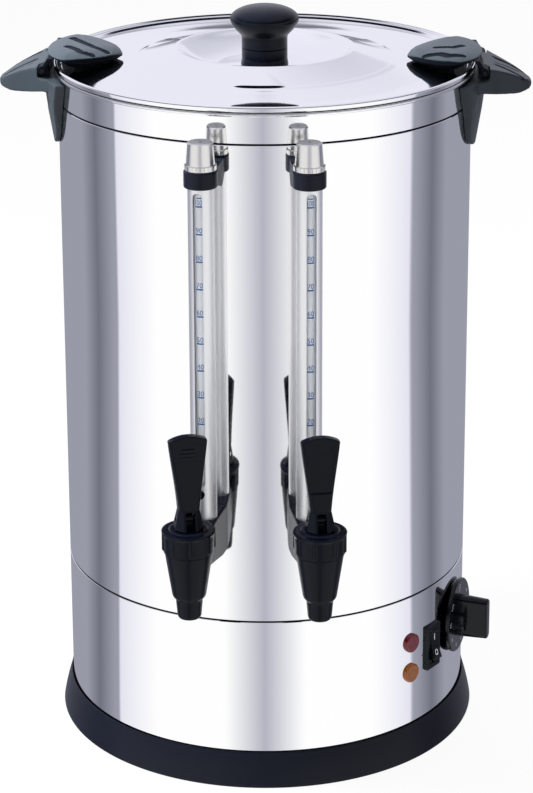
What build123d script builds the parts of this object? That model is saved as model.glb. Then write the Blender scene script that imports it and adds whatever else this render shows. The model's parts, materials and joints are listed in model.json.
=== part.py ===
"""Twin-tap coffee urn: a double-walled percolator urn with sight gauges, lid locks and a thermostat.

Frame: millimetres, +Z up, origin at the centre of the base ring's underside.
The taps face -Y, the carrying handles stand out to -X and +X.
Each fitting is drawn in a local frame (x outward, y along the wall, z up) and then turned
to its azimuth, which is counted from the front (-Y) towards +X.
"""
from build123d import *
import math
import os

# ---------------------------------------------------------------- clearances
RUN = 0.35          # gap between pieces that move against each other
FIT = 0.05          # radial play of a pin or shaft in its bore
SNUG = 0.1          # gap between fixed pieces that are pushed into each other

# ---------------------------------------------------------------- walls
BODY_R = 140.0      # outside of the polished shells
SHEET = 0.8         # thickness of the stainless sheet
SEAM = 0.8          # open height of the dark joint lines between shells
SEAM_LOW_Z = 119.5
SEAM_HIGH_Z = 447.5
LIP_H = 7.0         # joggled lip that centres one shell in the next, each way from a seam
BEAD_R = BODY_R + 2.4      # outside of the collar's bead
BEAD_H = 2.2

# ---------------------------------------------------------------- base
BASE_R = BODY_R + 7
BASE_TOP_R = BODY_R + 1
BASE_H = 24.0
BASE_WALL = 3.0
LEDGE_Z = 18.0      # the lower shell stands on this ledge
LEDGE_T = 3.0
LEDGE_R = BODY_R - 10     # inside of the ledge
COVER_T = 2.0
COVER_SLOTS = 12
FOOT_R = 9.0
FOOT_CIRCLE = 105.0
FOOT_COUNT = 4
FOOT_PLUG_R = 5.0
COVER_R = BODY_R - 2
SCREW_R = 2.0
SCREW_HEAD_R = 4.0
BOSS_R = 4.0
BOSS_H = 8.0
BOSS_AT = BODY_R - 6

# ---------------------------------------------------------------- tank
TANK_R = BODY_R - 6      # outside of the tank
TANK_FLOOR_Z = 128.0
TANK_FLOOR_T = 1.2
SUMP_R = 30.0       # well under the pump foot
SUMP_D = 5.0
TANK_TOP_Z = 468.6  # top of the tank's rolled bead
MOUTH_Z = 467.8     # upper face of the flange inside the bead

# ---------------------------------------------------------------- heating
SPREADER_R = 84.0
SPREADER_T = 5.0
ELEMENT_R = 62.0
ELEMENT_D = 8.5
ELEMENT_PIN_GAP = 24.0
ELEMENT_PIN_L = 38.0
CUTOUT_R = 9.0
CUTOUT_H = 9.0
CUTOUT_AT = 34.0

# ---------------------------------------------------------------- lid
LID_RIM_OUT = BODY_R + 2.5
LID_RIM_IN = BODY_R - 1
LID_RIM_TOP = 472.6
LID_RIM_LOW = TANK_TOP_Z + RUN
LID_WELL_R = BODY_R - 3
LID_WELL_Z = 469.0
LID_PLUG_R = TANK_R - 1.4
LID_PLUG_Z = 461.0
LID_CONE_R = 91.0
LID_CONE_Z = 470.9
LID_CREST_R = 60.4
LID_CREST_Z = 479.7
LID_DISH_R = 26.0
LID_DISH_Z = 467.6
LID_LIFT = 16.0
LOUVRE_R = 86.5     # radius at which the steam louvres open
LOUVRE_APEX_R = 69.0
LOUVRE_HALF_W = 16.5
LOUVRE_RISE = 2.4
LOUVRE_COUNT = 3

# ---------------------------------------------------------------- knob
KNOB_HEAD_R = 23.2
KNOB_NECK_R = 15.5
KNOB_SEAM_Z = 479.3
KNOB_HEAD_Z = 486.0  # underside of the head
KNOB_TOP_Z = 508.3
KNOB_WIDE_Z = KNOB_TOP_Z - 9.1  # height of its widest part
KNOB_SCREW_R = 2.5
KNOB_SCREW_HEAD_R = 5.0
KNOB_SCREW_L = 24.0
KNOB_WASHER_R = 9.0
KNOB_WASHER_T = 1.2

# ---------------------------------------------------------------- handles and lid locks
HANDLE_AZ = 90.0
HANDLE_TIP_R = BODY_R + 40.5
HANDLE_POCKET_Z = 464.0
HANDLE_LEG_Z = 414.5   # lowest point of the leg
LEG_CROWN_AT = BODY_R - 104.6  # centre of the leg's crown, from the urn's axis
HANDLE_GAP = 0.12
HANDLE_SCREW_Z = (428.0, 455.0)
HANDLE_SCREW_R = 2.5
HANDLE_SCREW_L = (3.9, 7.0)   # depth of the holes in the leg
HANDLE_HEAD_R = 3.8
GROOVE_W = 1.8
GROOVE_D = 1.0
# each groove is a chain of spots on the upper face with the groove's width from there on
GRIP_GROOVES = (
    (((BODY_R + 15, -2.5), 1.5), ((BODY_R + 25, 0.5), 1.8), ((BODY_R + 34, 1.5), 1.8)),
    (((BODY_R + 15, 9.5), 1.5), ((BODY_R + 24, 10.5), 1.8), ((BODY_R + 31.5, 8.5), 1.8)))
LEVER_GROOVES = (
    (((13.5, -16.5), 1.8), ((28, -8.5), 2.6), ((33, -3), 3.4), ((40.5, 0), 3.4)),
    (((13.5, 4.0), 1.8), ((22, 8), 2.6), ((26.5, 12.5), 3.4), ((33, 14), 3.4)))

PIN_R = 1.4
PIN_AT = BODY_R + 7.5      # distance of the lock's hinge from the urn's axis
PIN_Z = 469.5
PIN_HALF_L = 33.5
HUB_R = 3.0
HANDLE_POCKET_R = PIN_AT + HUB_R + 0.4  # the lid lock turns in the space inside this distance
LUG_HALF_W = 20.0
CHEEK_Y = (20.4, 33.0)
LEVER_UNDER = 6.8   # height of the lever's underside over the hinge, where it crosses the rim
LEVER_FOOT = 0.85   # the same where it holds the lid down
LEVER_REACH = 51.0
LEVER_OUTER = 0.6     # distance of the leaf's outer edge from the hinge
LEVER_MID = (25.0, 5.8)      # a point of the leaf's slanting edge line
LEVER_SLANT = 5.7     # degrees by which that line falls towards the tip
LEVER_TURN = 72.0
# how far the leaf is drawn in at each height over its edge line
LEVER_SECTIONS = ((14, -6.2), (7.5, -4.2), (2.2, -1.6), (0, 0.4), (1.3, 2.2), (4.2, 3.7), (10, 5.0), (17, 5.6))

# ---------------------------------------------------------------- taps
TAP_AZ = 12.2
TAP_R = BODY_R + 58       # distance of the spout's axis from the urn's axis
SPOUT_TIP_Z = 148.3
SPOUT_TIP_R = 7.75
SPOUT_RING_Z = 160.0
SPOUT_RING_R = 8.65
CONE_Z = 164.7
CONE_R = 11.0
CONE_TOP_Z = 194.0
CONE_TOP_R = 15.5
SPOUT_BORE_R = 5.2
SEAT_Z = 173.0
CHAMBER_R = 11.5
PASSAGE_Z = 187.0
PASSAGE_R = 4.5
SHANK_HALF_W = 9.5
SHANK_TOP_Z = 203.0
SHANK_LOW_Z = 168.0
TAIL_R = 8.0
TAIL_L = 20.0
NUT_R = 14.0
NUT_T = 6.0
WASHER_T = 2.0
WASHER_R = 12.5
THREAD_R = 14.0

BONNET_R = 16.6
BONNET_FLANGE_R = 17.4
BONNET_Z = 194.3
BONNET_FLANGE_Z = 207.9
BONNET_TOP_Z = 210.0
BONNET_BOSS_R = 12.0
BONNET_DECK_Z = 205.5
BONNET_RIBS = 8
STEM_R = 3.0
STEM_PIN_Z = 217.0
STEM_EYE_T = 5.0
STEM_EYE_R = 3.6
STEM_FLAT_Z = 206.5  # the stem is flat-sided above this
CUP_R = 8.2
CUP_H = 6.0
SPRING_R = 5.4
SPRING_WIRE = 0.7
SPRING_TURNS = 5
TAP_PIN_R = 1.5
TAP_FOOT_W = 19.0
TAP_FOOT_D = 19.0
TAP_WAIST_Z = 223.6
TAP_TOP_Z = 272.7
TAP_TURN = 27.0
TAP_FACING = {-1: 28.0, 1: 180.0}  # how each paddle stands, turned on its stem from facing outward
TAP_TOP_R = 26.0
GRIP_RIDGES = 6

# ---------------------------------------------------------------- sight gauges
GAUGE_R = BODY_R + 21
TUBE_R = 5.0
TUBE_WALL = 1.2
SHIELD_R = 8.4
SHIELD_WALL = 0.9
SHIELD_TOP_Z = 438.3
WINDOW_W = 6.4
WINDOW_Z = (226.0, 422.9)
SHIELD_SCREW_Z = 221.0
SHIELD_SCREW_R = 2.8
SOCKET_DEPTH = 9.0
BRACKET_Z = (425.2, 436.2)
BRACKET_R = 10.8
CAP_FLANGE_R = 10.2
CAP_FLANGE_H = 3.9
CAP_LOW_R = 9.2
CAP_TOP_R = 8.2
CAP_TOP_Z = 454.3
CAP_KNURLS = 24
SEAL_H = 8.0
SHIELD_SCREW_HOLE = 1.4
ARM_HALF_W = 8.0
ARM_SCREW_Z = 429.0
ARM_SCREW_R = 2.0
ARM_HEAD_R = 3.4

# ---------------------------------------------------------------- controls
SWITCH_AZ = 56.6
SWITCH_Z = 74.4
SWITCH_W = 16.5
SWITCH_H = 32.5
SWITCH_PROUD = 2.2
SWITCH_WALL = 1.9
SWITCH_DEPTH = 22.0
ROCKER_TURN = 20.0
ROCKER_PIN_R = 1.2
ROCKER_AT = BODY_R - 5.5
SWITCH_HOLE_W = 6.6   # half the width of the hole in the wall
SWITCH_HOLE_H = 14.4
LAMP_AZ = 47.0
LAMP_R = 6.8
LAMP_BODY_R = 4.8
LAMP_BODY_L = 20.0
LAMP_Z = {"heating_lamp": 84.8, "warm_lamp": 62.4}
DIAL_AZ = 72.0
DIAL_Z = 82.5
DIAL_R = 26.0
DIAL_T = 2.4
DIAL_BACK = BODY_R + 1.6   # distance of the dial's back from the urn's axis
DIAL_GRIP_L = 31.0
DIAL_GRIP_W = 10.0
DIAL_GRIP_H = 21.0
DIAL_HUB_R = 11.0
SHAFT_R = 3.0
SHAFT_FLAT = 1.0
BUSH_R = 5.0
BUSH_PROUD = 0.9
STAT_W = 34.0
STAT_H = 30.0
STAT_D = 22.0
GLAND_Z = 46.0
GLAND_R = 11.0
GLAND_BODY_R = 7.6
GLAND_BORE_R = 3.8
GLAND_PROUD = 8.0

# ---------------------------------------------------------------- percolator
PUMP_R = 6.0
PUMP_WALL = 1.0
PUMP_TOP_Z = 412.0
PUMP_BELL_R = 26.0
PUMP_BELL_H = 9.0
BASKET_R = 84.0
BASKET_Z = (300.0, 388.0)
BASKET_HOLE_R = 2.0
SPREADER_LID_Z = 388.4

# ---------------------------------------------------------------- shared helpers
SIDES = {"left": -1, "right": 1}


def turned(azimuth, shape):
    """Turn a fitting from its local frame (x outward) to its azimuth."""
    return Rot(0, 0, azimuth - 90) * shape


def tube(outer, inner, low, high):
    """An upright tube round the z axis."""
    wall = Cylinder(outer, high - low) - Cylinder(inner, 2 * (high - low))
    return Pos(0, 0, (low + high) / 2) * wall


def rod(radius, start, end):
    """A rod between two points."""
    span = Vector(*end) - Vector(*start)
    return Plane(origin=start, z_dir=span) * extrude(Circle(radius), span.length)


def spun(*points):
    """Revolve an outline of (radius, height) points round the z axis."""
    return revolve(Plane.XZ * make_face(Polyline(*points, close=True)), Axis.Z)


def block(x, y, z):
    """A box between limits: x, y and z are (low, high) pairs."""
    size = [b - a for a, b in (x, y, z)]
    middle = [(a + b) / 2 for a, b in (x, y, z)]
    return Pos(*middle) * Box(*size)


def side_cut(points, half_width):
    """Extrude an outline of (x, z) points both ways along y."""
    return extrude(Plane.XZ * make_face(Polyline(*points, close=True)), half_width, both=True)


def wall_hole(radius, azimuth, height, depth=30.0):
    """A round cutter through the wall at one azimuth and height."""
    return turned(azimuth, rod(radius, (BODY_R - depth, 0, height), (BODY_R + depth, 0, height)))


# ---------------------------------------------------------------- base
def make_base_ring():
    """Flared moulded ring that carries the shells on an inner ledge."""
    skin = make_face(
        Line((BASE_R - BASE_WALL, 0), (BASE_R - 0.6, 0))
        + Line((BASE_R - 0.6, 0), (BASE_R, 0.8))
        + ThreePointArc((BASE_R, 0.8), (BASE_R - 2.4, BASE_H / 2), (BASE_TOP_R, BASE_H))
        + Line((BASE_TOP_R, BASE_H), (BODY_R + SNUG, BASE_H))
        + Line((BODY_R + SNUG, BASE_H), (BODY_R + SNUG, LEDGE_Z))
        + Line((BODY_R + SNUG, LEDGE_Z), (LEDGE_R, LEDGE_Z))
        + Line((LEDGE_R, LEDGE_Z), (LEDGE_R, LEDGE_Z - LEDGE_T))
        + Line((LEDGE_R, LEDGE_Z - LEDGE_T), (BODY_R + SNUG, LEDGE_Z - LEDGE_T))
        + Line((BODY_R + SNUG, LEDGE_Z - LEDGE_T), (BASE_R - BASE_WALL, 0)))
    ring = revolve(Plane.XZ * skin, Axis.Z)
    for spot in base_screw_spots():
        ring += spot * tube(BOSS_R, SCREW_R + FIT, LEDGE_Z - LEDGE_T, LEDGE_Z + BOSS_H)
        ring -= spot * Cylinder(SCREW_R + FIT, 100)
    return ring


def base_screw_spots():
    """Places of the screws that hold the bottom plate to the ledge."""
    return [Rot(0, 0, 45 + 360 * i / FOOT_COUNT) * Pos(BOSS_AT, 0, 0) for i in range(FOOT_COUNT)]


def make_bottom_plate():
    """Plate that closes the base, with vent slots and holes for the feet."""
    low = LEDGE_Z - LEDGE_T - COVER_T
    plate = tube(COVER_R, FOOT_PLUG_R + FIT, low, low + COVER_T)
    for i in range(COVER_SLOTS):
        slot = extrude(SlotOverall(26, 4), 40, both=True)
        plate -= Rot(0, 0, 360 * i / COVER_SLOTS) * Pos(70, 0, 0) * slot
    for spot in base_screw_spots():
        plate -= spot * Cylinder(SCREW_R + FIT, 100)
    for spot in foot_spots():
        plate -= spot * Cylinder(FOOT_PLUG_R + FIT, 100)
    return plate


def foot_spots():
    return [Rot(0, 0, 22.5 + 360 * i / FOOT_COUNT) * Pos(FOOT_CIRCLE, 0, 0) for i in range(FOOT_COUNT)]


def make_rubber_feet():
    """Rubber feet with a plug that snaps through the bottom plate."""
    low = LEDGE_Z - LEDGE_T - COVER_T
    feet = []
    for spot in foot_spots():
        foot = tube(FOOT_R, 2.0, 0, low) + tube(FOOT_PLUG_R, 2.0, low, low + COVER_T)
        foot += tube(FOOT_PLUG_R + 1.2, 2.0, low + COVER_T, low + COVER_T + 2)
        feet.append(spot * foot)
    return Compound(children=feet)


def make_bottom_screws():
    """Round-headed screws through the bottom plate into the ledge's bosses."""
    low = LEDGE_Z - LEDGE_T - COVER_T
    screw = Pos(0, 0, low) * extrude(Circle(SCREW_R), LEDGE_T + COVER_T + BOSS_H - 1)
    screw += Pos(0, 0, low - 2.2) * extrude(Circle(SCREW_HEAD_R), 2.2)
    screw -= Pos(0, 0, low - 2.2) * Box(1.2, 6, 2)
    return Compound(children=[spot * screw for spot in base_screw_spots()])


# ---------------------------------------------------------------- shells
def shell(low, high):
    """Plain tube of sheet at the body's radius, with a shallow groove round its foot."""
    return tube(BODY_R, BODY_R - SHEET, low, high)


def joggled(low, high):
    """A shell whose foot steps inward into the shell below and leaves a dark joint line."""
    skin = BODY_R - SHEET
    lip = skin - SNUG
    body = shell(low + SEAM, high)
    body += tube(BODY_R - SHEET / 2, lip - SHEET, low, low + SEAM)
    body += tube(lip, lip - SHEET, low - LIP_H, low)
    body += tube(skin + 0.05, lip - SHEET, low + SEAM - 0.05, low + 2 * SEAM)
    return body


def make_control_band():
    """Lower shell that carries the switch, the lamps and the thermostat dial."""
    band = shell(LEDGE_Z, SEAM_LOW_Z - SEAM / 2)
    for name, z in LAMP_Z.items():
        band -= wall_hole(LAMP_BODY_R + SNUG, LAMP_AZ, z)
    band -= wall_hole(BUSH_R + SNUG, DIAL_AZ, DIAL_Z)
    band -= wall_hole(GLAND_BODY_R + SNUG, 180, GLAND_Z)
    hole = block((BODY_R - 20, BODY_R + 20), (-SWITCH_HOLE_W, SWITCH_HOLE_W),
                 (SWITCH_Z - SWITCH_HOLE_H, SWITCH_Z + SWITCH_HOLE_H))
    return band - turned(SWITCH_AZ, hole)


def make_main_jacket():
    """Main polished shell, with holes for the taps, the gauge brackets and the handles."""
    jacket = joggled(SEAM_LOW_Z - SEAM / 2, SEAM_HIGH_Z - SEAM / 2)
    for side in SIDES.values():
        jacket -= wall_hole(TAIL_R + SNUG, side * TAP_AZ, PASSAGE_Z)
        jacket -= wall_hole(ARM_SCREW_R + SNUG, side * TAP_AZ, ARM_SCREW_Z)
        jacket -= wall_hole(HANDLE_SCREW_R + SNUG, side * HANDLE_AZ, HANDLE_SCREW_Z[0])
    return jacket


def make_top_collar():
    """Collar above the upper joint line, under the tank's rolled bead."""
    collar = joggled(SEAM_HIGH_Z - SEAM / 2, MOUTH_Z - SHEET)
    for side in SIDES.values():
        collar -= wall_hole(HANDLE_SCREW_R + SNUG, side * HANDLE_AZ, HANDLE_SCREW_Z[1])
    return collar


def make_inner_tank():
    """Water tank: wall, floor with a well for the pump foot, and a rolled mouth bead."""
    inner = TANK_R - SHEET
    tank = tube(TANK_R, inner, TANK_FLOOR_Z - TANK_FLOOR_T, MOUTH_Z)
    tank += tube(BEAD_R - 1, inner, MOUTH_Z - SHEET, MOUTH_Z)
    bead = Pos((BODY_R + SNUG + BEAD_R) / 2, TANK_TOP_Z - BEAD_H / 2) * RectangleRounded(
        BEAD_R - BODY_R - SNUG, BEAD_H, BEAD_H / 2 - 0.1)
    tank += revolve(Plane.XZ * bead, Axis.Z)
    tank += tube(TANK_R, SUMP_R, TANK_FLOOR_Z - TANK_FLOOR_T, TANK_FLOOR_Z)
    tank += tube(SUMP_R + TANK_FLOOR_T, SUMP_R, TANK_FLOOR_Z - SUMP_D - TANK_FLOOR_T, TANK_FLOOR_Z)
    tank += Pos(0, 0, TANK_FLOOR_Z - SUMP_D - TANK_FLOOR_T) * extrude(
        Circle(SUMP_R + TANK_FLOOR_T), TANK_FLOOR_T)
    for side in SIDES.values():
        tank -= wall_hole(TAIL_R + SNUG, side * TAP_AZ, PASSAGE_Z)
    return tank


# ---------------------------------------------------------------- heating
def make_heat_spreader():
    """Aluminium plate pressed under the tank's floor."""
    top = TANK_FLOOR_Z - TANK_FLOOR_T
    return tube(SPREADER_R, SUMP_R + TANK_FLOOR_T + 0.5, top - SPREADER_T, top)


def make_heating_element():
    """Sheathed ring element with two terminal pins that point down."""
    z = TANK_FLOOR_Z - TANK_FLOOR_T - SPREADER_T - ELEMENT_D / 2
    spread = math.degrees(math.asin(ELEMENT_PIN_GAP / 2 / ELEMENT_R))
    section = Plane.XZ * Pos(ELEMENT_R, z) * Circle(ELEMENT_D / 2)
    ring = Rot(0, 0, spread) * revolve(section, Axis.Z, 360 - 2 * spread)
    for side in (-1, 1):
        spot = Rot(0, 0, side * (spread + 4)) * Pos(ELEMENT_R, 0, z - ELEMENT_PIN_L / 2)
        ring += spot * Cylinder(2.4, ELEMENT_PIN_L)
    return ring


def make_thermal_cutout():
    """Safety cutout with two tabs, held against the tank's well."""
    top = TANK_FLOOR_Z - SUMP_D - TANK_FLOOR_T
    cutout = tube(CUTOUT_R, 1.0, top - CUTOUT_H, top) + Pos(0, 0, top - CUTOUT_H / 2) * Cylinder(2, CUTOUT_H)
    for y in (-5, 5):
        cutout += block((-3, 3), (y - 0.4, y + 0.4), (top - CUTOUT_H - 9, top - CUTOUT_H))
    return cutout


def make_terminal_block():
    """Mains terminal block on the bottom plate, near the cord's entry."""
    floor = LEDGE_Z - LEDGE_T
    body = block((-22, 22), (80, 100), (floor, floor + 18))
    for i in range(3):
        x = -14 + 14 * i
        body -= Pos(x, 90, floor + 10) * Rot(90, 0, 0) * Cylinder(3.0, 40)
        body -= Pos(x, 86, floor + 18) * Cylinder(2.2, 14)
    return body


# ---------------------------------------------------------------- lid
def lid_path():
    """Upper surface of the lid from the knob's seat out to the rim, as sketch edges."""
    hole = KNOB_SCREW_R + FIT
    dish = Line((hole, LID_DISH_Z), (LID_DISH_R, LID_DISH_Z))
    bowl = ThreePointArc((LID_DISH_R, LID_DISH_Z), (46, 471.2), (LID_CREST_R - 2.2, LID_CREST_Z - 0.5))
    crest = ThreePointArc((LID_CREST_R - 2.2, LID_CREST_Z - 0.5), (LID_CREST_R - 0.2, LID_CREST_Z),
                          (LID_CREST_R + 1.8, LID_CREST_Z - 0.5))
    cone = ThreePointArc((LID_CREST_R + 1.8, LID_CREST_Z - 0.5), (77, 474.6), (LID_CONE_R, LID_CONE_Z))
    well = ThreePointArc((LID_CONE_R, LID_CONE_Z), (114, 469.8), (LID_WELL_R, LID_WELL_Z))
    return [dish, bowl, crest, cone, well]


def make_lid_pan():
    """Polished lid: dished centre, crest, shallow cone, rolled rim, locating skirt and louvres."""
    upper = lid_path()
    face = make_face(sum((Curve() + e for e in upper), Curve())
                     + Line((LID_WELL_R, LID_WELL_Z), (LID_WELL_R, LID_WELL_Z - SHEET))
                     + sum((Curve() + Pos(0, -SHEET) * e for e in upper), Curve())
                     + Line((KNOB_SCREW_R + FIT, LID_DISH_Z - SHEET), (KNOB_SCREW_R + FIT, LID_DISH_Z)))
    sheet = revolve(Plane.XZ * face, Axis.Z)
    width = LID_RIM_OUT - LID_RIM_IN
    height = LID_RIM_TOP - LID_RIM_LOW
    roll = Pos((LID_RIM_OUT + LID_RIM_IN) / 2, (LID_RIM_TOP + LID_RIM_LOW) / 2) * RectangleRounded(
        width, height, width / 2 - 0.1)
    sheet += revolve(Plane.XZ * roll, Axis.Z)
    low = LID_WELL_Z - SHEET
    slope = [(LID_WELL_R - 1, low), (LID_WELL_R - 1, LID_WELL_Z), (LID_RIM_IN + 1, LID_RIM_LOW + 2.4),
             (LID_RIM_IN + 1, LID_RIM_LOW + 0.6), (LID_WELL_R + 0.4, LID_RIM_LOW)]
    sheet += spun(*slope)
    sheet += tube(LID_PLUG_R, LID_PLUG_R - SHEET, LID_PLUG_Z, LID_WELL_Z - 0.3)
    for i in range(LOUVRE_COUNT):
        spin = Rot(0, 0, -90 + 360 * i / LOUVRE_COUNT)
        sheet += spin * louvre(0)
        sheet -= spin * louvre(SHEET)
    return sheet


def louvre(inset):
    """Half-round hood that rises from the cone and opens outward; inset gives its hollow."""
    mouth_z = 471.6
    apex_z = 476.6
    mouth = Plane(origin=(LOUVRE_R, 0, mouth_z), x_dir=(0, 1, 0), z_dir=(1, 0, 0)) * Ellipse(
        LOUVRE_HALF_W - inset, LOUVRE_RISE - inset * 0.7)
    apex = Plane(origin=(LOUVRE_APEX_R + inset, 0, apex_z - inset), x_dir=(0, 1, 0), z_dir=(1, 0, 0)) * Ellipse(
        3.0 - inset, 0.9 - inset * 0.5)
    hood = loft([apex, mouth])
    if inset:
        hood += extrude(mouth, 1.0)
    return hood


def make_lid_knob():
    """Mushroom knob with a short neck; its screw comes up from under the lid."""
    profile = Spline(
        (KNOB_NECK_R, KNOB_HEAD_Z),
        (KNOB_NECK_R + 1.6, KNOB_HEAD_Z + 3.2),
        (KNOB_HEAD_R - 2.6, KNOB_HEAD_Z + 7.0),
        (KNOB_HEAD_R, KNOB_WIDE_Z),
        (KNOB_HEAD_R - 3.2, KNOB_TOP_Z - 4.3),
        (KNOB_HEAD_R - 10.5, KNOB_TOP_Z - 1.4),
        (0, KNOB_TOP_Z),
        tangents=[(0, 1), (-1, 0)])
    foot = Polyline((0, KNOB_TOP_Z), (0, KNOB_SEAM_Z + 0.05), (KNOB_NECK_R, KNOB_SEAM_Z + 0.05),
                    (KNOB_NECK_R, KNOB_HEAD_Z))
    shape = make_face(profile + foot)
    knob = revolve(Plane.XZ * shape, Axis.Z)
    return knob - Pos(0, 0, KNOB_SEAM_Z + 7) * Cylinder(KNOB_SCREW_R + FIT, 14.2)


def make_knob_base():
    """Collar between the knob and the lid's dish."""
    return spun(
        (KNOB_SCREW_R + FIT, LID_DISH_Z), (KNOB_NECK_R + 0.6, LID_DISH_Z), (KNOB_NECK_R, LID_DISH_Z + 4),
        (KNOB_NECK_R, KNOB_SEAM_Z - 0.25), (KNOB_NECK_R - 0.6, KNOB_SEAM_Z + 0.05),
        (KNOB_SCREW_R + FIT, KNOB_SEAM_Z + 0.05))


def make_knob_washer():
    under = LID_DISH_Z - SHEET
    return tube(KNOB_WASHER_R, KNOB_SCREW_R + FIT, under - KNOB_WASHER_T, under)


def make_knob_screw():
    """Screw from under the lid into the knob."""
    under = LID_DISH_Z - SHEET - KNOB_WASHER_T
    screw = Pos(0, 0, under) * extrude(Circle(KNOB_SCREW_R), KNOB_SCREW_L)
    head = Pos(0, 0, under - 3) * extrude(Circle(KNOB_SCREW_HEAD_R), 3)
    head = fillet(head.edges().group_by(Axis.Z)[0], 1.2)
    return screw + head - Pos(0, 0, under - 3) * (Box(1.2, 6, 2) + Box(6, 1.2, 2))


# ---------------------------------------------------------------- handles
def leg_shape():
    """Leg of the handle: a wide crowned strap, rounded at the bottom, that reaches up to the rim."""
    low = HANDLE_LEG_Z
    outline = Spline(
        (-63, HANDLE_POCKET_Z), (-60, 452), (-56, 438), (-51, 426.5), (-36, 418), (0, low),
        (36, 418), (51, 426.5), (56, 438), (60, 452), (63, HANDLE_POCKET_Z))
    face = make_face(outline + Line((63, HANDLE_POCKET_Z), (-63, HANDLE_POCKET_Z)))
    front = Pos(100, 0, 0) * extrude(Plane.YZ * face, 60)
    proud = [(2.2, low - 5), (3.4, low), (5, 425), (7, 438), (8.8, 450), (9.6, HANDLE_POCKET_Z + 4)]
    points = [(BODY_R + x - LEG_CROWN_AT, z) for x, z in proud]
    strap = make_face(Polyline((80, low - 5), *points, (80, HANDLE_POCKET_Z + 4), close=True))
    return front & (Pos(LEG_CROWN_AT, 0, 0) * revolve(Plane.XZ * strap, Axis.Z))


def grip_shape():
    """Tongue-shaped grip, thick at the wall and thin at the tip."""
    tip = HANDLE_TIP_R
    wall = BODY_R
    upper = Spline((wall - 20, HANDLE_POCKET_Z + 10), (wall + 9, 472), (wall + 17, 469.2), (wall + 27, 465),
                   (tip - 3, 459.2))
    nose = ThreePointArc((tip - 3, 459.2), (tip, 455.6), (tip - 3.5, 452.4))
    under = Spline((tip - 3.5, 452.4), (wall + 30, 451.3), (wall + 18, 451.6), (wall + 11, 448.5), (wall + 8, 441))
    inner = Polyline((wall + 8, 441), (wall - 20, 441), (wall - 20, HANDLE_POCKET_Z + 10))
    side = make_face(upper + nose + under + inner)
    slab = extrude(Plane.XZ * side, 70, both=True)
    out = [(-8, 57), (-2, 46), (2, 38.5), (9, 32.5), (17, 25), (27, 17.4), (35, 11)]
    half = [(wall + x, y) for x, y in out]
    edge = Spline(*half, tangents=[(0.45, -1), (1, -1.1)])
    back = Spline(*[(x, -y) for x, y in reversed(half)], tangents=[(-1, -1.1), (-0.45, -1)])
    nose = ThreePointArc(half[-1], (tip, 0), (half[-1][0], -half[-1][1]))
    plan = make_face(Line((half[0][0], -half[0][1]), half[0]) + edge + nose + back)
    return slab & (Pos(0, 0, 430) * extrude(plan, 60))


def slot(start, end, width, low, high):
    """Upright prism with round ends, for a finger groove."""
    along = Vector(*end) - Vector(*start)
    middle = (Vector(*start) + Vector(*end)) * 0.5
    face = Rot(0, 0, math.degrees(math.atan2(along.Y, along.X))) * SlotCenterToCenter(along.length, width)
    return Pos(middle.X, middle.Y, low) * extrude(face, high - low)


def grooved(shape, grooves, low, high):
    """Press grooves of an even depth into the upper face of a shape."""
    spots = [pair for chain in grooves for pair in zip(chain, chain[1:])]
    cutters = [slot(start, end, wide, low, high) for (start, wide), (end, _) in spots]
    return shape - (Part() + cutters - Pos(0, 0, -GROOVE_D) * shape)


def make_handle(side):
    """One carrying handle, with the lug that holds the lid lock's pin."""
    grip = grip_shape()
    handle = grip + leg_shape()
    handle -= Cylinder(BODY_R + HANDLE_GAP, 1200)
    handle = grooved(handle, GRIP_GROOVES, 462, 480)
    handle -= block((100, HANDLE_POCKET_R), (-80, 80), (HANDLE_POCKET_Z, 500))
    lug = block((PIN_AT - HUB_R, HANDLE_POCKET_R + 1), (-LUG_HALF_W, LUG_HALF_W), (HANDLE_POCKET_Z - 1, PIN_Z))
    lug += rod(HUB_R, (PIN_AT, -LUG_HALF_W, PIN_Z), (PIN_AT, LUG_HALF_W, PIN_Z))
    handle += lug
    handle -= rod(PIN_R + FIT, (PIN_AT, -60, PIN_Z), (PIN_AT, 60, PIN_Z))
    for z, length in zip(HANDLE_SCREW_Z, HANDLE_SCREW_L):
        handle -= rod(HANDLE_SCREW_R, (100, 0, z), (BODY_R + length, 0, z))
    return turned(side * HANDLE_AZ, handle)


def make_handle_screws():
    """Screws from inside the shells into the handles' legs."""
    screws = []
    for side in SIDES.values():
        for z, length in zip(HANDLE_SCREW_Z, HANDLE_SCREW_L):
            back = BODY_R - 2 * SHEET - SNUG if abs(z - SEAM_HIGH_Z) < LIP_H else BODY_R - SHEET
            head = math.sqrt(back ** 2 - HANDLE_HEAD_R ** 2)
            screw = rod(HANDLE_SCREW_R - FIT, (head - 0.5, 0, z), (BODY_R + length - 0.5, 0, z))
            screw += rod(HANDLE_HEAD_R, (head - 2.6, 0, z), (head, 0, z))
            screws.append(turned(side * HANDLE_AZ, screw))
    return Compound(children=screws)


def make_lock_pins():
    """Hinge pins of the lid locks, pressed into the handles' lugs."""
    pins = []
    for side in SIDES.values():
        pin = rod(PIN_R, (PIN_AT, -PIN_HALF_L, PIN_Z), (PIN_AT, PIN_HALF_L, PIN_Z))
        pins.append(turned(side * HANDLE_AZ, pin))
    return Compound(children=pins)


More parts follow.
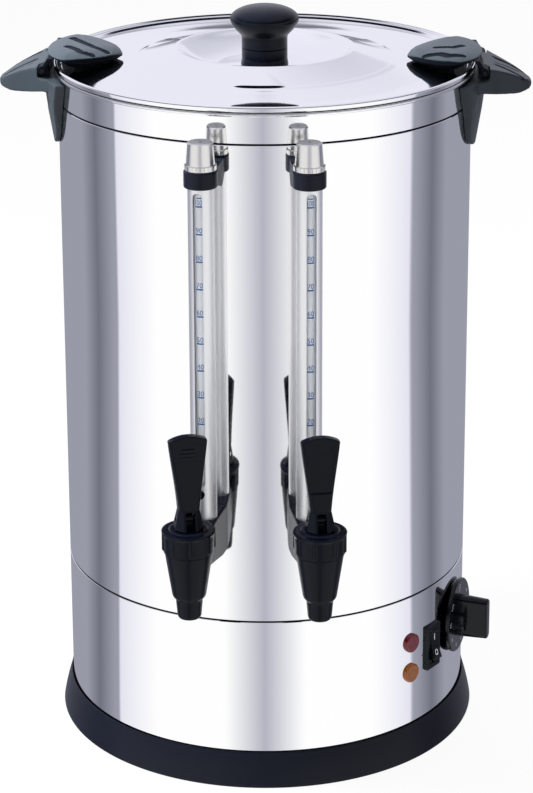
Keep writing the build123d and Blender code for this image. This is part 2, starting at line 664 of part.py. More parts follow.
def leaf_section(inset, height):
    """Outline of the leaf, drawn in by an inset, in a plane that slants with its edge line."""
    middle, lift = LEVER_MID
    kx = 1 - inset / (LEVER_REACH - middle)
    ky = 1 - inset / 38.4
    side = [(11, 35.5), (16, 38.2), (24, 37.4), (34, 29.5), (43, 18.5), (48.5, 9)]
    near = [((x - middle) * kx, y * ky) for x, y in side]
    far = [(x, -y) for x, y in reversed(near)]
    tip = ((LEVER_REACH - middle) * kx, 0)
    outer = ((LEVER_OUTER - middle) * kx, 0)
    face = make_face(Spline(*near) + ThreePointArc(near[-1], tip, far[0]) + Spline(*far)
                     + ThreePointArc(far[-1], outer, near[0]))
    return Pos(middle, 0, lift) * Rot(0, LEVER_SLANT, 0) * Pos(0, 0, height) * face


def make_lock_lever(side):
    """Lid lock: a domed leaf over the lid's rim with two hinge cheeks and a foot that holds the lid."""
    leaf = loft([leaf_section(inset, height) for inset, height in LEVER_SECTIONS], ruled=True)
    room = Polyline((-5, LEVER_UNDER), (13, LEVER_UNDER), (20, LEVER_FOOT), (60, LEVER_FOOT), (60, 30), (-5, 30),
                    close=True)
    leaf = leaf & extrude(Plane.XZ * make_face(room), 60, both=True)
    leaf = grooved(leaf, LEVER_GROOVES, 6, 20)
    for sign in (-1, 1):
        y0, y1 = (CHEEK_Y if sign > 0 else (-CHEEK_Y[1], -CHEEK_Y[0]))
        web = Polyline((0.4, 2.9), (3.6, 8.2), (7.6, 8.2), (2.6, 1.6), close=True)
        cheek = extrude(Plane.XZ * make_face(web), (y1 - y0) / 2, both=True)
        leaf += Pos(0, (y0 + y1) / 2, 0) * cheek
        leaf += rod(HUB_R, (0, y0, 0), (0, y1, 0))
    leaf -= rod(PIN_R + FIT, (0, -60, 0), (0, 60, 0))
    lever = Pos(PIN_AT, 0, PIN_Z) * Rot(0, 0, 180) * leaf
    return turned(side * HANDLE_AZ, lever)


# ---------------------------------------------------------------- taps
def facing(side, shape):
    """Place a piece that turns with a tap's paddle; its x axis is the way the paddle faces."""
    return turned(side * TAP_AZ, Pos(TAP_R, 0, 0) * Rot(0, 0, TAP_FACING[side]) * shape)


def make_tap_body(side):
    """Tap body: cone and spout, arm to the wall, gauge socket and threaded tail."""
    cone = spun((0, SPOUT_TIP_Z), (SPOUT_TIP_R - 0.8, SPOUT_TIP_Z), (SPOUT_TIP_R, SPOUT_TIP_Z + 1.5),
                (SPOUT_RING_R, SPOUT_RING_Z), (SPOUT_RING_R + 0.2, SPOUT_RING_Z + 1.6), (CONE_R - 0.5, CONE_Z - 1.4),
                (CONE_R, CONE_Z), (CONE_TOP_R, CONE_TOP_Z), (THREAD_R, CONE_TOP_Z), (THREAD_R, BONNET_DECK_Z - 1.5),
                (0, BONNET_DECK_Z - 1.5))
    body = Pos(TAP_R, 0, 0) * cone
    arm = make_face(Polyline(
        (BODY_R + 0.1 - 3, 171.5), (150, SHANK_LOW_Z + 3.5), (TAP_R - 19, 177), (TAP_R, 183),
        (TAP_R, 193.5), (TAP_R - 22, 193.5), (TAP_R - 24, 196), (TAP_R - 25, SHANK_TOP_Z - 2),
        (TAP_R - 27, SHANK_TOP_Z), (BODY_R + 0.1 - 3, SHANK_TOP_Z), close=True))
    arm = extrude(Plane.XZ * arm, SHANK_HALF_W, both=True)
    arm -= Cylinder(BODY_R + 0.05, 1200)
    body += fillet([e for e in arm.edges().filter_by(GeomType.LINE) if abs(abs(e.center().Y) - SHANK_HALF_W) < 0.01
                    and e.center().X < TAP_R - 5 and e.center().X > BODY_R + 4
                    and abs(e.tangent_at(0.5).Y) < 0.1 and e.center().Z > 200], 1.5)
    body += rod(TAIL_R, (BODY_R - TAIL_L, 0, PASSAGE_Z), (BODY_R + 6, 0, PASSAGE_Z))
    body -= Pos(TAP_R, 0, (SEAT_Z + 220) / 2) * Cylinder(CHAMBER_R, 220 - SEAT_Z)
    body -= Pos(TAP_R, 0, SEAT_Z) * Cylinder(SPOUT_BORE_R, 90)
    body -= rod(PASSAGE_R, (BODY_R - 60, 0, PASSAGE_Z), (TAP_R, 0, PASSAGE_Z))
    body -= Pos(GAUGE_R, 0, (PASSAGE_Z + 230) / 2) * Cylinder(TUBE_R - TUBE_WALL, 230 - PASSAGE_Z)
    body -= Pos(GAUGE_R, 0, SHANK_TOP_Z) * Cylinder(TUBE_R + SNUG, 2 * SOCKET_DEPTH)
    return turned(side * TAP_AZ, body)


def make_tap_bonnet(side):
    """Ribbed cap nut that closes the tap and guides its stem."""
    cap = spun((STEM_R + FIT, BONNET_DECK_Z), (THREAD_R + FIT, BONNET_DECK_Z), (THREAD_R + FIT, BONNET_Z),
               (BONNET_R - 0.4, BONNET_Z), (BONNET_R, BONNET_FLANGE_Z - 1.5), (BONNET_FLANGE_R, BONNET_FLANGE_Z),
               (BONNET_FLANGE_R, BONNET_FLANGE_Z + 0.8), (BONNET_FLANGE_R - 0.8, BONNET_FLANGE_Z + 1.2),
               (BONNET_BOSS_R + 0.6, BONNET_FLANGE_Z + 1.2), (BONNET_BOSS_R, BONNET_TOP_Z),
               (STEM_R + FIT, BONNET_TOP_Z))
    for i in range(BONNET_RIBS):
        rib = block((BONNET_R - 1.4, BONNET_R + 0.6), (-1.2, 1.2), (BONNET_Z + 1.4, BONNET_FLANGE_Z - 0.6))
        cap += Rot(0, 0, 360 * (i + 0.5) / BONNET_RIBS) * rib
    return turned(side * TAP_AZ, Pos(TAP_R, 0, 0) * cap)


def make_tap_stem(side):
    """Stem from the seat cup up to the handle's pin."""
    low = SEAT_Z + RUN + CUP_H
    stem = Pos(0, 0, low - 4) * extrude(Circle(STEM_R), STEM_PIN_Z - low)
    stem += Pos(0, 0, low) * extrude(Circle(CUP_R - 1), 1.2)
    eye = Rot(90, 0, 0) * Cylinder(STEM_EYE_R, STEM_EYE_T)
    eye += Pos(0, 0, -3.5) * Box(2 * STEM_R, STEM_EYE_T, 7)
    stem += Pos(0, 0, STEM_PIN_Z) * eye
    stem -= Pos(0, 0, STEM_PIN_Z) * Rot(90, 0, 0) * Cylinder(TAP_PIN_R + FIT, 40)
    for sign in (-1, 1):
        flat = sorted((sign * STEM_EYE_T / 2, sign * 10))
        stem -= block((-10, 10), flat, (STEM_FLAT_Z, 240))
    return facing(side, stem)


def make_tap_seat_cup(side):
    """Silicone cup that closes the spout."""
    low = SEAT_Z + RUN
    cup = Pos(0, 0, low) * extrude(Circle(CUP_R), CUP_H)
    cup -= Pos(0, 0, low + CUP_H - 4.1) * extrude(Circle(STEM_R + FIT), 20)
    return turned(side * TAP_AZ, Pos(TAP_R, 0, 0) * cup)


def make_tap_spring(side):
    """Spring that presses the seat cup down."""
    low = SEAT_Z + RUN + CUP_H + 1.2 + SPRING_WIRE + 0.02
    high = BONNET_DECK_Z - SPRING_WIRE - 0.02
    path = Helix((high - low) / SPRING_TURNS, high - low, SPRING_R)
    wire = Plane(origin=path @ 0, z_dir=path % 0) * RegularPolygon(SPRING_WIRE, 6)
    coil = Pos(0, 0, low) * sweep(wire, path, is_frenet=True)
    return turned(side * TAP_AZ, Pos(TAP_R, 0, 0) * coil)


def chamfered(depth, width, cut):
    """Rectangle with its corners cut off."""
    x, y = depth / 2, width / 2
    points = [(x, y - cut), (x - cut, y), (cut - x, y), (-x, y - cut), (-x, cut - y), (cut - x, -y), (x - cut, -y), (x, cut - y)]
    return make_face(Polyline(*points, close=True))


def make_tap_handle(side):
    """Paddle with a slotted foot; its foot rolls on the bonnet and lifts the stem."""
    foot_z = BONNET_TOP_Z + RUN
    foot = loft([Pos(0, 0, z) * chamfered(d, w, c)
                 for z, w, d, c in [(foot_z, TAP_FOOT_W, TAP_FOOT_D, 5.0), (TAP_WAIST_Z, 13.6, 11.4, 3.0)]], ruled=True)
    sections = [(TAP_WAIST_Z, 13.6, 11.4, 2.6), (TAP_WAIST_Z + 16, 17.2, 8.6, 2.0),
                (TAP_TOP_Z - 14, 22.6, 6.8, 1.6), (TAP_TOP_Z + 1, 26.0, 6.0, 1.6)]
    blade = loft([Pos(0, 0, z) * RectangleRounded(d, w, r) for z, w, d, r in sections])
    cap = Pos(0, 0, TAP_TOP_Z - TAP_TOP_R) * Rot(0, 90, 0) * Cylinder(TAP_TOP_R, 60)
    handle = foot + (blade & (cap + block((-30, 30), (-30, 30), (200, TAP_TOP_Z - 12))))
    slot = block((-30, 30), (-STEM_EYE_T / 2 - RUN, STEM_EYE_T / 2 + RUN), (foot_z - 1, STEM_PIN_Z + 5.2))
    handle -= slot
    handle -= Pos(0, 0, STEM_PIN_Z) * Rot(90, 0, 0) * Cylinder(TAP_PIN_R + FIT, 60)
    for i in range(GRIP_RIDGES):
        z = TAP_TOP_Z - 9.0 - 2.6 * i
        wide = 12.5 - abs(i - 2.5) * 1.9
        handle += Pos(3.05, 0, z) * Rot(90, 0, 0) * Cylinder(0.65, wide)
    panel = extrude(RectangleRounded(30, 17, 3), 10)
    handle -= Pos(-3.0, 0, TAP_TOP_Z - 22) * Rot(0, -86.5, 0) * panel
    return facing(side, handle)


def make_tap_pin(side):
    """Pin through the handle's foot and the stem's eye."""
    pin = Pos(0, 0, STEM_PIN_Z) * Rot(90, 0, 0) * Cylinder(TAP_PIN_R, 15.4)
    return facing(side, pin)


def make_tap_washers():
    """Silicone washers inside the tank, under the tap nuts."""
    return Compound(children=[tail_ring(side, 0, WASHER_T, WASHER_R, False) for side in SIDES.values()])


def make_tap_nuts():
    """Hexagon nuts that hold the taps' tails inside the tank."""
    return Compound(children=[tail_ring(side, WASHER_T, NUT_T, NUT_R, True) for side in SIDES.values()])


def tail_ring(side, start, thick, radius, hexagon):
    """Ring or hexagon on a tap's tail, start mm in from the tank's wall."""
    inner = TANK_R - SHEET
    shape = RegularPolygon(radius, 6) if hexagon else Circle(radius)
    flat = math.sqrt(inner ** 2 - WASHER_R ** 2) - start
    ring = Plane(origin=(flat - thick, 0, PASSAGE_Z), z_dir=(1, 0, 0)) * extrude(shape, thick)
    if start == 0:
        ring += rod(radius, (flat, 0, PASSAGE_Z), (inner + 1, 0, PASSAGE_Z)) & Cylinder(inner - 0.02, 1200)
    return turned(side * TAP_AZ, ring - rod(TAIL_R + FIT, (60, 0, PASSAGE_Z), (BODY_R, 0, PASSAGE_Z)))


# ---------------------------------------------------------------- sight gauges
def gauge(side, shape):
    return turned(side * TAP_AZ, Pos(GAUGE_R, 0, 0) * shape)


def make_gauge_glasses():
    """Glass level tubes, one over each tap."""
    low = SHANK_TOP_Z - SOCKET_DEPTH + 2.0
    high = SHIELD_TOP_Z + 9.0
    return Compound(children=[gauge(side, tube(TUBE_R, TUBE_R - TUBE_WALL, low, high)) for side in SIDES.values()])


def make_gauge_shield(side):
    """Bright guard tube with a long window towards the front."""
    shield = tube(SHIELD_R, SHIELD_R - SHIELD_WALL, SHANK_TOP_Z, SHIELD_TOP_Z)
    low, high = WINDOW_Z
    window = block((0, 20), (-WINDOW_W / 2, WINDOW_W / 2), (low + WINDOW_W / 2, high - WINDOW_W / 2))
    for z in (low + WINDOW_W / 2, high - WINDOW_W / 2):
        window += rod(WINDOW_W / 2, (0, 0, z), (20, 0, z))
    shield -= window
    shield -= rod(SHIELD_SCREW_HOLE, (0, 0, SHIELD_SCREW_Z), (20, 0, SHIELD_SCREW_Z))
    return gauge(side, shield)


def make_gauge_screws():
    """Small screws at the foot of each guard's window."""
    screws = []
    for side in SIDES.values():
        screw = rod(SHIELD_SCREW_R, (SHIELD_R - 0.25, 0, SHIELD_SCREW_Z), (SHIELD_R + 1.4, 0, SHIELD_SCREW_Z))
        screw += rod(SHIELD_SCREW_HOLE - FIT, (TUBE_R + 0.4, 0, SHIELD_SCREW_Z), (SHIELD_R, 0, SHIELD_SCREW_Z))
        screw -= tube(SHIELD_R, SHIELD_R - SHIELD_WALL, 0, 500) - rod(SHIELD_SCREW_HOLE - FIT, (0, 0, SHIELD_SCREW_Z), (20, 0, SHIELD_SCREW_Z))
        screw -= block((SHIELD_R + 0.7, SHIELD_R + 3), (-0.4, 0.4), (SHIELD_SCREW_Z - 5, SHIELD_SCREW_Z + 5))
        screw -= block((SHIELD_R + 0.7, SHIELD_R + 3), (-5, 5), (SHIELD_SCREW_Z - 0.4, SHIELD_SCREW_Z + 0.4))
        screws.append(gauge(side, screw))
    return Compound(children=screws)


def make_gauge_seals():
    """Rubber sleeves that seal each glass inside its guard, below and above."""
    seals = []
    for side in SIDES.values():
        for low in (SHANK_TOP_Z + 0.02, SHIELD_TOP_Z - SEAL_H - 0.5):
            seals.append(gauge(side, tube(SHIELD_R - SHIELD_WALL - FIT, TUBE_R + FIT, low, low + SEAL_H)))
    return Compound(children=seals)


def make_gauge_bracket(side):
    """Clamp round the guard's top with an arm back to the wall."""
    low, high = BRACKET_Z
    middle = (low + high) / 2
    bracket = Pos(GAUGE_R, 0, middle) * Cylinder(BRACKET_R, high - low)
    bracket = fillet(bracket.edges().filter_by(GeomType.CIRCLE), 1.0)
    arm = Polyline((BODY_R - 4, low - 6.0), (BODY_R + 6, low - 3.0), (GAUGE_R - 6, low + 1.2), (GAUGE_R, low + 1.2),
                   (GAUGE_R, high - 1.2), (BODY_R - 4, high + 0.5), close=True)
    arm = extrude(Plane.XZ * make_face(arm), ARM_HALF_W, both=True)
    arm -= Cylinder(BODY_R + 0.05, 1200)
    bracket += arm
    bracket -= Pos(GAUGE_R, 0, middle) * Cylinder(SHIELD_R + FIT, 60)
    bracket -= rod(ARM_SCREW_R, (100, 0, ARM_SCREW_Z), (GAUGE_R - SHIELD_R - 2.5, 0, ARM_SCREW_Z))
    return turned(side * TAP_AZ, bracket)


def make_bracket_screws():
    """Screws from inside the jacket into the brackets' arms."""
    screws = []
    for side in SIDES.values():
        head = math.sqrt((BODY_R - SHEET) ** 2 - ARM_HEAD_R ** 2)
        screw = rod(ARM_SCREW_R - FIT, (head - 0.5, 0, ARM_SCREW_Z), (GAUGE_R - SHIELD_R - 3, 0, ARM_SCREW_Z))
        screw += rod(ARM_HEAD_R, (head - 2.0, 0, ARM_SCREW_Z), (head, 0, ARM_SCREW_Z))
        screws.append(turned(side * TAP_AZ, screw))
    return Compound(children=screws)


def make_gauge_caps():
    """Knurled bright caps with a vent hole."""
    caps = []
    for side in SIDES.values():
        cap = spun((0, CAP_TOP_Z), (CAP_TOP_R - 0.8, CAP_TOP_Z), (CAP_TOP_R, CAP_TOP_Z - 0.7),
                   (CAP_LOW_R, BRACKET_Z[1] + 0.05 + CAP_FLANGE_H), (CAP_FLANGE_R, BRACKET_Z[1] + CAP_FLANGE_H - 0.4),
                   (CAP_FLANGE_R, BRACKET_Z[1] + 0.6), (CAP_FLANGE_R - 0.5, BRACKET_Z[1] + 0.05),
                   (SHIELD_R + SNUG, BRACKET_Z[1] + 0.05), (SHIELD_R + SNUG, SHIELD_TOP_Z + SNUG),
                   (TUBE_R + SNUG, SHIELD_TOP_Z + SNUG), (TUBE_R + SNUG, SHIELD_TOP_Z + 9.2), (0, SHIELD_TOP_Z + 9.2))
        cap -= Pos(0, 0, CAP_TOP_Z) * Cylinder(0.8, 30)
        for i in range(CAP_KNURLS):
            notch = Pos(CAP_FLANGE_R + 0.3, 0, BRACKET_Z[1] + 1.7) * Rot(0, 0, 45) * Box(0.9, 0.9, 5)
            cap -= Rot(0, 0, 360 * i / CAP_KNURLS) * notch
        caps.append(gauge(side, cap))
    return Compound(children=caps)


# ---------------------------------------------------------------- controls
def make_lamp(name):
    """Indicator lamp: a lens outside the wall and its holder behind."""
    z = LAMP_Z[name]
    seat = math.sqrt(BODY_R ** 2 - LAMP_R ** 2)
    lens = rod(LAMP_R, (seat, 0, z), (BODY_R + 2.2, 0, z))
    lens = fillet(lens.edges().group_by(Axis.X)[-1], 1.5)
    lens -= Cylinder(BODY_R + 0.05, 1200)
    lamp = lens + rod(LAMP_BODY_R, (BODY_R - LAMP_BODY_L, 0, z), (BODY_R + 1, 0, z))
    return turned(LAMP_AZ, lamp)


def make_rocker_frame():
    """Switch housing with a raised bezel on the wall."""
    z = SWITCH_Z
    face = BODY_R + SWITCH_PROUD
    bezel = block((BODY_R - 2, face), (-SWITCH_W / 2, SWITCH_W / 2), (z - SWITCH_H / 2, z + SWITCH_H / 2))
    bezel = fillet(bezel.edges().filter_by(Axis.X), 1.2)
    bezel = fillet(bezel.edges().group_by(Axis.X)[-1], 0.8)
    bezel -= Cylinder(BODY_R + 0.05, 1200)
    low = BODY_R - SWITCH_DEPTH
    body = block((low, face - 1), (-SWITCH_HOLE_W + SNUG, SWITCH_HOLE_W - SNUG),
                 (z - SWITCH_HOLE_H + SNUG, z + SWITCH_HOLE_H - SNUG))
    half_w = SWITCH_HOLE_W - SWITCH_WALL
    half_h = SWITCH_HOLE_H - SWITCH_WALL
    frame = bezel + body - block((low + 6, face + 5), (-half_w, half_w), (z - half_h, z + half_h))
    frame += rod(ROCKER_PIN_R, (ROCKER_AT, -SWITCH_HOLE_W + 1, z), (ROCKER_AT, SWITCH_HOLE_W - 1, z))
    for dz in (-9, 9):
        frame += block((low - 8, low + 1), (-3, 3), (z + dz - 0.4, z + dz + 0.4))
    return turned(SWITCH_AZ, frame)


def make_rocker():
    """Rocker of the switch, at rest with its upper end pressed in."""
    half_w = SWITCH_HOLE_W - SWITCH_WALL - RUN
    half_h = SWITCH_HOLE_H - SWITCH_WALL - RUN
    rise = BODY_R + SWITCH_PROUD - ROCKER_AT
    outline = make_face(
        Polyline((-2.6, -3), (-2.6, 3), (2.0, half_h - 2.2), (rise + 2.2, half_h - 1.7))
        + ThreePointArc((rise + 2.2, half_h - 1.7), (rise + 0.8, 0), (rise + 2.2, -half_h + 1.7))
        + Polyline((rise + 2.2, -half_h + 1.7), (2.0, -half_h + 2.2), (-2.6, -3)))
    rocker = extrude(Plane.XZ * outline, half_w, both=True)
    rocker = Rot(0, -ROCKER_TURN / 2, 0) * rocker
    rocker -= rod(ROCKER_PIN_R + FIT, (0, -60, 0), (0, 60, 0))
    return turned(SWITCH_AZ, Pos(ROCKER_AT, 0, SWITCH_Z) * rocker)


def make_thermostat_body():
    """Thermostat behind the wall, with a threaded bush through it."""
    wall = math.sqrt((BODY_R - SHEET) ** 2 - (STAT_W / 2) ** 2)
    body = block((wall - STAT_D, wall - 0.05), (-STAT_W / 2, STAT_W / 2), (DIAL_Z - STAT_H / 2, DIAL_Z + STAT_H / 2))
    for dy in (-8, 8):
        body += block((wall - STAT_D - 8, wall - STAT_D + 1), (dy - 0.4, dy + 0.4), (DIAL_Z - 3, DIAL_Z + 3))
    body += rod(BUSH_R, (wall - 1, 0, DIAL_Z), (BODY_R + BUSH_PROUD, 0, DIAL_Z))
    body -= rod(SHAFT_R + FIT, (wall - 12, 0, DIAL_Z), (BODY_R + 30, 0, DIAL_Z))
    return turned(DIAL_AZ, body)


def make_thermostat_shaft():
    """Turning shaft with a flat that drives the dial."""
    wall = math.sqrt((BODY_R - SHEET) ** 2 - (STAT_W / 2) ** 2)
    shaft = rod(SHAFT_R, (wall - 11.5, 0, DIAL_Z), (DIAL_BACK + DIAL_T + 12, 0, DIAL_Z))
    shaft -= block((DIAL_BACK + 2, DIAL_BACK + 40), (-5, 5), (DIAL_Z + SHAFT_R - SHAFT_FLAT, DIAL_Z + 9))
    return turned(DIAL_AZ, shaft)


def make_thermostat_knob():
    """Dial skirt with a raised bar grip."""
    skirt = Plane(origin=(DIAL_BACK, 0, DIAL_Z), z_dir=(1, 0, 0)) * extrude(Circle(DIAL_R), DIAL_T)
    skirt = fillet(skirt.edges().group_by(Axis.X)[-1], 0.9)
    top = DIAL_BACK + DIAL_T + DIAL_GRIP_H
    hub = rod(DIAL_HUB_R, (DIAL_BACK + 1, 0, DIAL_Z), (DIAL_BACK + DIAL_T + 6, 0, DIAL_Z))
    grip = Plane(origin=(DIAL_BACK + DIAL_T, 0, DIAL_Z), x_dir=(0, 1, 0), z_dir=(1, 0, 0)) * extrude(
        RectangleRounded(DIAL_GRIP_W, DIAL_GRIP_L, 4.5), DIAL_GRIP_H, taper=2.5)
    grip = fillet(grip.edges().group_by(Axis.X)[-1], 1.4)
    knob = skirt + hub + grip
    bore = rod(SHAFT_R + FIT, (DIAL_BACK - 1, 0, DIAL_Z), (DIAL_BACK + DIAL_T + 12.3, 0, DIAL_Z))
    flat = block((DIAL_BACK + 2.2, DIAL_BACK + 40), (-5, 5), (DIAL_Z + SHAFT_R - SHAFT_FLAT + FIT, DIAL_Z + 9))
    knob -= bore - flat
    knob -= rod(BUSH_R + RUN, (DIAL_BACK - 5, 0, DIAL_Z), (BODY_R + BUSH_PROUD + RUN, 0, DIAL_Z))
    return turned(DIAL_AZ, knob)


def make_cord_gland():
    """Moulded gland for the mains cord, at the back near the foot."""
    seat = math.sqrt(BODY_R ** 2 - GLAND_R ** 2)
    gland = rod(GLAND_R, (seat, 0, GLAND_Z), (BODY_R + 3, 0, GLAND_Z))
    gland -= Cylinder(BODY_R + 0.05, 1200)
    gland += rod(GLAND_BODY_R, (BODY_R - 12, 0, GLAND_Z), (BODY_R + GLAND_PROUD, 0, GLAND_Z))
    gland += rod(GLAND_BODY_R + 1.5, (BODY_R - 12, 0, GLAND_Z), (BODY_R - 5, 0, GLAND_Z))
    gland -= rod(GLAND_BORE_R, (60, 0, GLAND_Z), (BODY_R + 40, 0, GLAND_Z))
    return turned(180, gland)


# ---------------------------------------------------------------- percolator
def make_perk_tube():
    """Pump tube: a bell foot in the tank's well, a stem and a collar under the basket."""
    low = TANK_FLOOR_Z - SUMP_D + 0.05
    inner = PUMP_R - PUMP_WALL
    bell = spun((PUMP_BELL_R, low), (PUMP_BELL_R, low + 1), (PUMP_R, low + PUMP_BELL_H), (inner, low + PUMP_BELL_H),
                (inner, low + PUMP_BELL_H - 1.2), (PUMP_BELL_R - 1.5, low))
    pump = bell + tube(PUMP_R, inner, low + PUMP_BELL_H - 0.5, PUMP_TOP_Z)
    return pump + tube(PUMP_R + 5, inner, BASKET_Z[0] - 3, BASKET_Z[0])


def make_coffee_basket():
    """Perforated basket with a sleeve that slides on the pump tube."""
    low, high = BASKET_Z
    basket = tube(BASKET_R, BASKET_R - SHEET, low, high) + tube(BASKET_R, PUMP_R + 0.2, low, low + SHEET)
    basket += tube(PUMP_R + 1.2, PUMP_R + 0.2, low, high)
    for count, ring in ((6, 20), (12, 38), (18, 56), (24, 73)):
        for i in range(count):
            basket -= Rot(0, 0, 360 * i / count) * Pos(ring, 0, low) * Box(3.2, 3.2, 10)
    return basket


def make_basket_cover():
    """Perforated cover that spreads the water over the grounds."""
    low = BASKET_Z[1] + 0.05
    cover = tube(BASKET_R + 1, PUMP_R + 0.3, low, low + SHEET)
    cover += tube(BASKET_R - SHEET - 0.3, BASKET_R - 2 * SHEET - 0.3, low - 3, low + SHEET / 2)
    for count, ring in ((6, 22), (12, 42), (18, 62)):
        for i in range(count):
            cover -= Rot(0, 0, 360 * i / count) * Pos(ring, 0, low) * Box(2.6, 2.6, 10)
    return cover


# ---------------------------------------------------------------- every node
def make_nodes():
    """Every node of the urn by name."""
    nodes = {
        "base_ring": make_base_ring(),
        "bottom_plate": make_bottom_plate(),
        "rubber_feet": make_rubber_feet(),
        "bottom_screws": make_bottom_screws(),
        "control_band": make_control_band(),
        "main_jacket": make_main_jacket(),
        "top_collar": make_top_collar(),
        "inner_tank": make_inner_tank(),
        "heat_spreader": make_heat_spreader(),
        "heating_element": make_heating_element(),
        "thermal_cutout": make_thermal_cutout(),
        "terminal_block": make_terminal_block(),
        "heating_lamp": make_lamp("heating_lamp"),
        "warm_lamp": make_lamp("warm_lamp"),
        "rocker_frame": make_rocker_frame(),
        "rocker": make_rocker(),
        "thermostat_body": make_thermostat_body(),
        "thermostat_shaft": make_thermostat_shaft(),
        "thermostat_knob": make_thermostat_knob(),
        "cord_gland": make_cord_gland(),
        "handle_screws": make_handle_screws(),
        "lock_pins": make_lock_pins(),
        "lid_pan": make_lid_pan(),
        "lid_knob": make_lid_knob(),
        "knob_base": make_knob_base(),
        "knob_washer": make_knob_washer(),
        "knob_screw": make_knob_screw(),
        "tap_nuts": make_tap_nuts(),
        "tap_washers": make_tap_washers(),
        "gauge_glasses": make_gauge_glasses(),
        "gauge_seals": make_gauge_seals(),
        "gauge_screws": make_gauge_screws(),
        "gauge_caps": make_gauge_caps(),
        "bracket_screws": make_bracket_screws(),
        "perk_tube": make_perk_tube(),
        "coffee_basket": make_coffee_basket(),
        "basket_cover": make_basket_cover(),
    }
    paired = {
        "handle": make_handle,
        "lock_lever": make_lock_lever,
        "tap_body": make_tap_body,
        "tap_bonnet": make_tap_bonnet,
        "tap_stem": make_tap_stem,
        "tap_seat_cup": make_tap_seat_cup,
        "tap_spring": make_tap_spring,
        "tap_handle": make_tap_handle,
        "tap_pin": make_tap_pin,
        "gauge_shield": make_gauge_shield,
        "gauge_bracket": make_gauge_bracket,
    }
    for name, maker in paired.items():
        for word, side in SIDES.items():
            nodes[f"{name}_{word}"] = maker(side)
    return nodes


os.makedirs("parts", exist_ok=True)
for node_name, node_shape in make_nodes().items():
    export_step(node_shape, f"parts/{node_name}.step")
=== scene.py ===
"""Looks of the twin-tap coffee urn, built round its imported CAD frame.

Lengths in this script are millimetres in the CAD's frame; M turns them into Blender's metres.
The taps face -Y, and an azimuth is counted from -Y towards +X.
"""
import json
import math

import bpy
import bmesh
from mathutils import Matrix, Vector
from mathutils.bvhtree import BVHTree


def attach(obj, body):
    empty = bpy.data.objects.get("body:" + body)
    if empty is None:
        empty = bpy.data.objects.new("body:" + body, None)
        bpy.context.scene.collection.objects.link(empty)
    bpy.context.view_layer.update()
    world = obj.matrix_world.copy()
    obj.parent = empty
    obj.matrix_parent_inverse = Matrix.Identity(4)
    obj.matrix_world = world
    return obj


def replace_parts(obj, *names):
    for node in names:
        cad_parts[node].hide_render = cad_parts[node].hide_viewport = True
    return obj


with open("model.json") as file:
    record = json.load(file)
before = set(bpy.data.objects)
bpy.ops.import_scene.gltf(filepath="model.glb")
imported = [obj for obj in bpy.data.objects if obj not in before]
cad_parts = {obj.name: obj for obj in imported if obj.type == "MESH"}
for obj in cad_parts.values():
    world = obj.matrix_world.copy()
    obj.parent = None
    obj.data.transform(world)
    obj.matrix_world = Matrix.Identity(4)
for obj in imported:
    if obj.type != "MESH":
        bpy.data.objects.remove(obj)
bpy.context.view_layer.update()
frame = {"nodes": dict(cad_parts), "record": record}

M = 0.001
NODES = frame["nodes"]
SIDES = {"left": -1, "right": 1}

# ---------------------------------------------------------------- sizes shared with the CAD
BODY_R = 140.0
SHEET = 0.8
BAND_LOW_Z = 18.0
COLLAR_TOP_Z = 466.0
SEAM_SHOWN = 1.2    # height of the joint lines; each open joint is painted dark as its shade
SEAM_LOW_Z = 119.5
SEAM_HIGH_Z = 447.5
TAP_AZ = 12.2
GAUGE_R = 161.0

# ---------------------------------------------------------------- camera, as the photograph was taken
IMAGE_W = 533
IMAGE_H = 793
FOCAL_PX = 2636.67
SENSOR = 36.0
CAMERA_DISTANCE = 1742.98
CAMERA_Z = 874.43
CAMERA_AZ = 2.33
CAMERA_PITCH = 16.925
CAMERA_ROLL = -0.2298
CENTRE_X_PX = 265.378
CENTRE_Y_PX = 238.0


def direction(azimuth):
    """Unit vector of an azimuth counted from -Y towards +X."""
    a = math.radians(azimuth)
    return Vector((math.sin(a), -math.cos(a), 0))


def make_camera():
    data = bpy.data.cameras.new("camera")
    data.sensor_fit = "AUTO"
    data.sensor_width = SENSOR
    data.lens = FOCAL_PX * SENSOR / IMAGE_H
    data.shift_x = -(CENTRE_X_PX - IMAGE_W / 2) / IMAGE_H
    data.shift_y = (CENTRE_Y_PX - IMAGE_H / 2) / IMAGE_H
    data.clip_start = 0.05
    data.clip_end = 50
    camera = bpy.data.objects.new("camera", data)
    bpy.context.scene.collection.objects.link(camera)
    camera.location = (direction(CAMERA_AZ) * CAMERA_DISTANCE + Vector((0, 0, CAMERA_Z))) * M
    turn = Matrix.Rotation(math.radians(CAMERA_AZ), 4, "Z")
    tilt = Matrix.Rotation(math.radians(90 - CAMERA_PITCH), 4, "X")
    roll = Matrix.Rotation(math.radians(CAMERA_ROLL), 4, "Z")
    camera.rotation_euler = (turn @ tilt @ roll).to_euler()
    bpy.context.scene.camera = camera


# ---------------------------------------------------------------- colour helpers
def linear(value):
    """One display value, 0 to 255, as linear light."""
    c = value / 255
    return c / 12.92 if c <= 0.04045 else ((c + 0.055) / 1.055) ** 2.4


def colour(r, g, b):
    return (linear(r), linear(g), linear(b), 1.0)


# ---------------------------------------------------------------- studio
# The studio that the polished wall mirrors, by angle from the camera's own side: a soft box on each
# side of the camera with a dim gap between the two, a dark post past each box, and a grey room.
BOX_TONE = 255
BOX_EDGE_TONE = 228     # a soft box fades towards its outer edge
GAP_TONE = 180
POST_TONE = 115
ROOM_TONE = 155
GAP_HALF_W = 22.0
BOX_FADE_AT = 62.0
BOX_EDGE_AT = 89.5
BOX_EDGE_BLUR = 0.7
POST_AT = 107.0
POST_HALF_W = 14.0
STUDIO_TURN = -1.2      # the whole studio stands turned a little
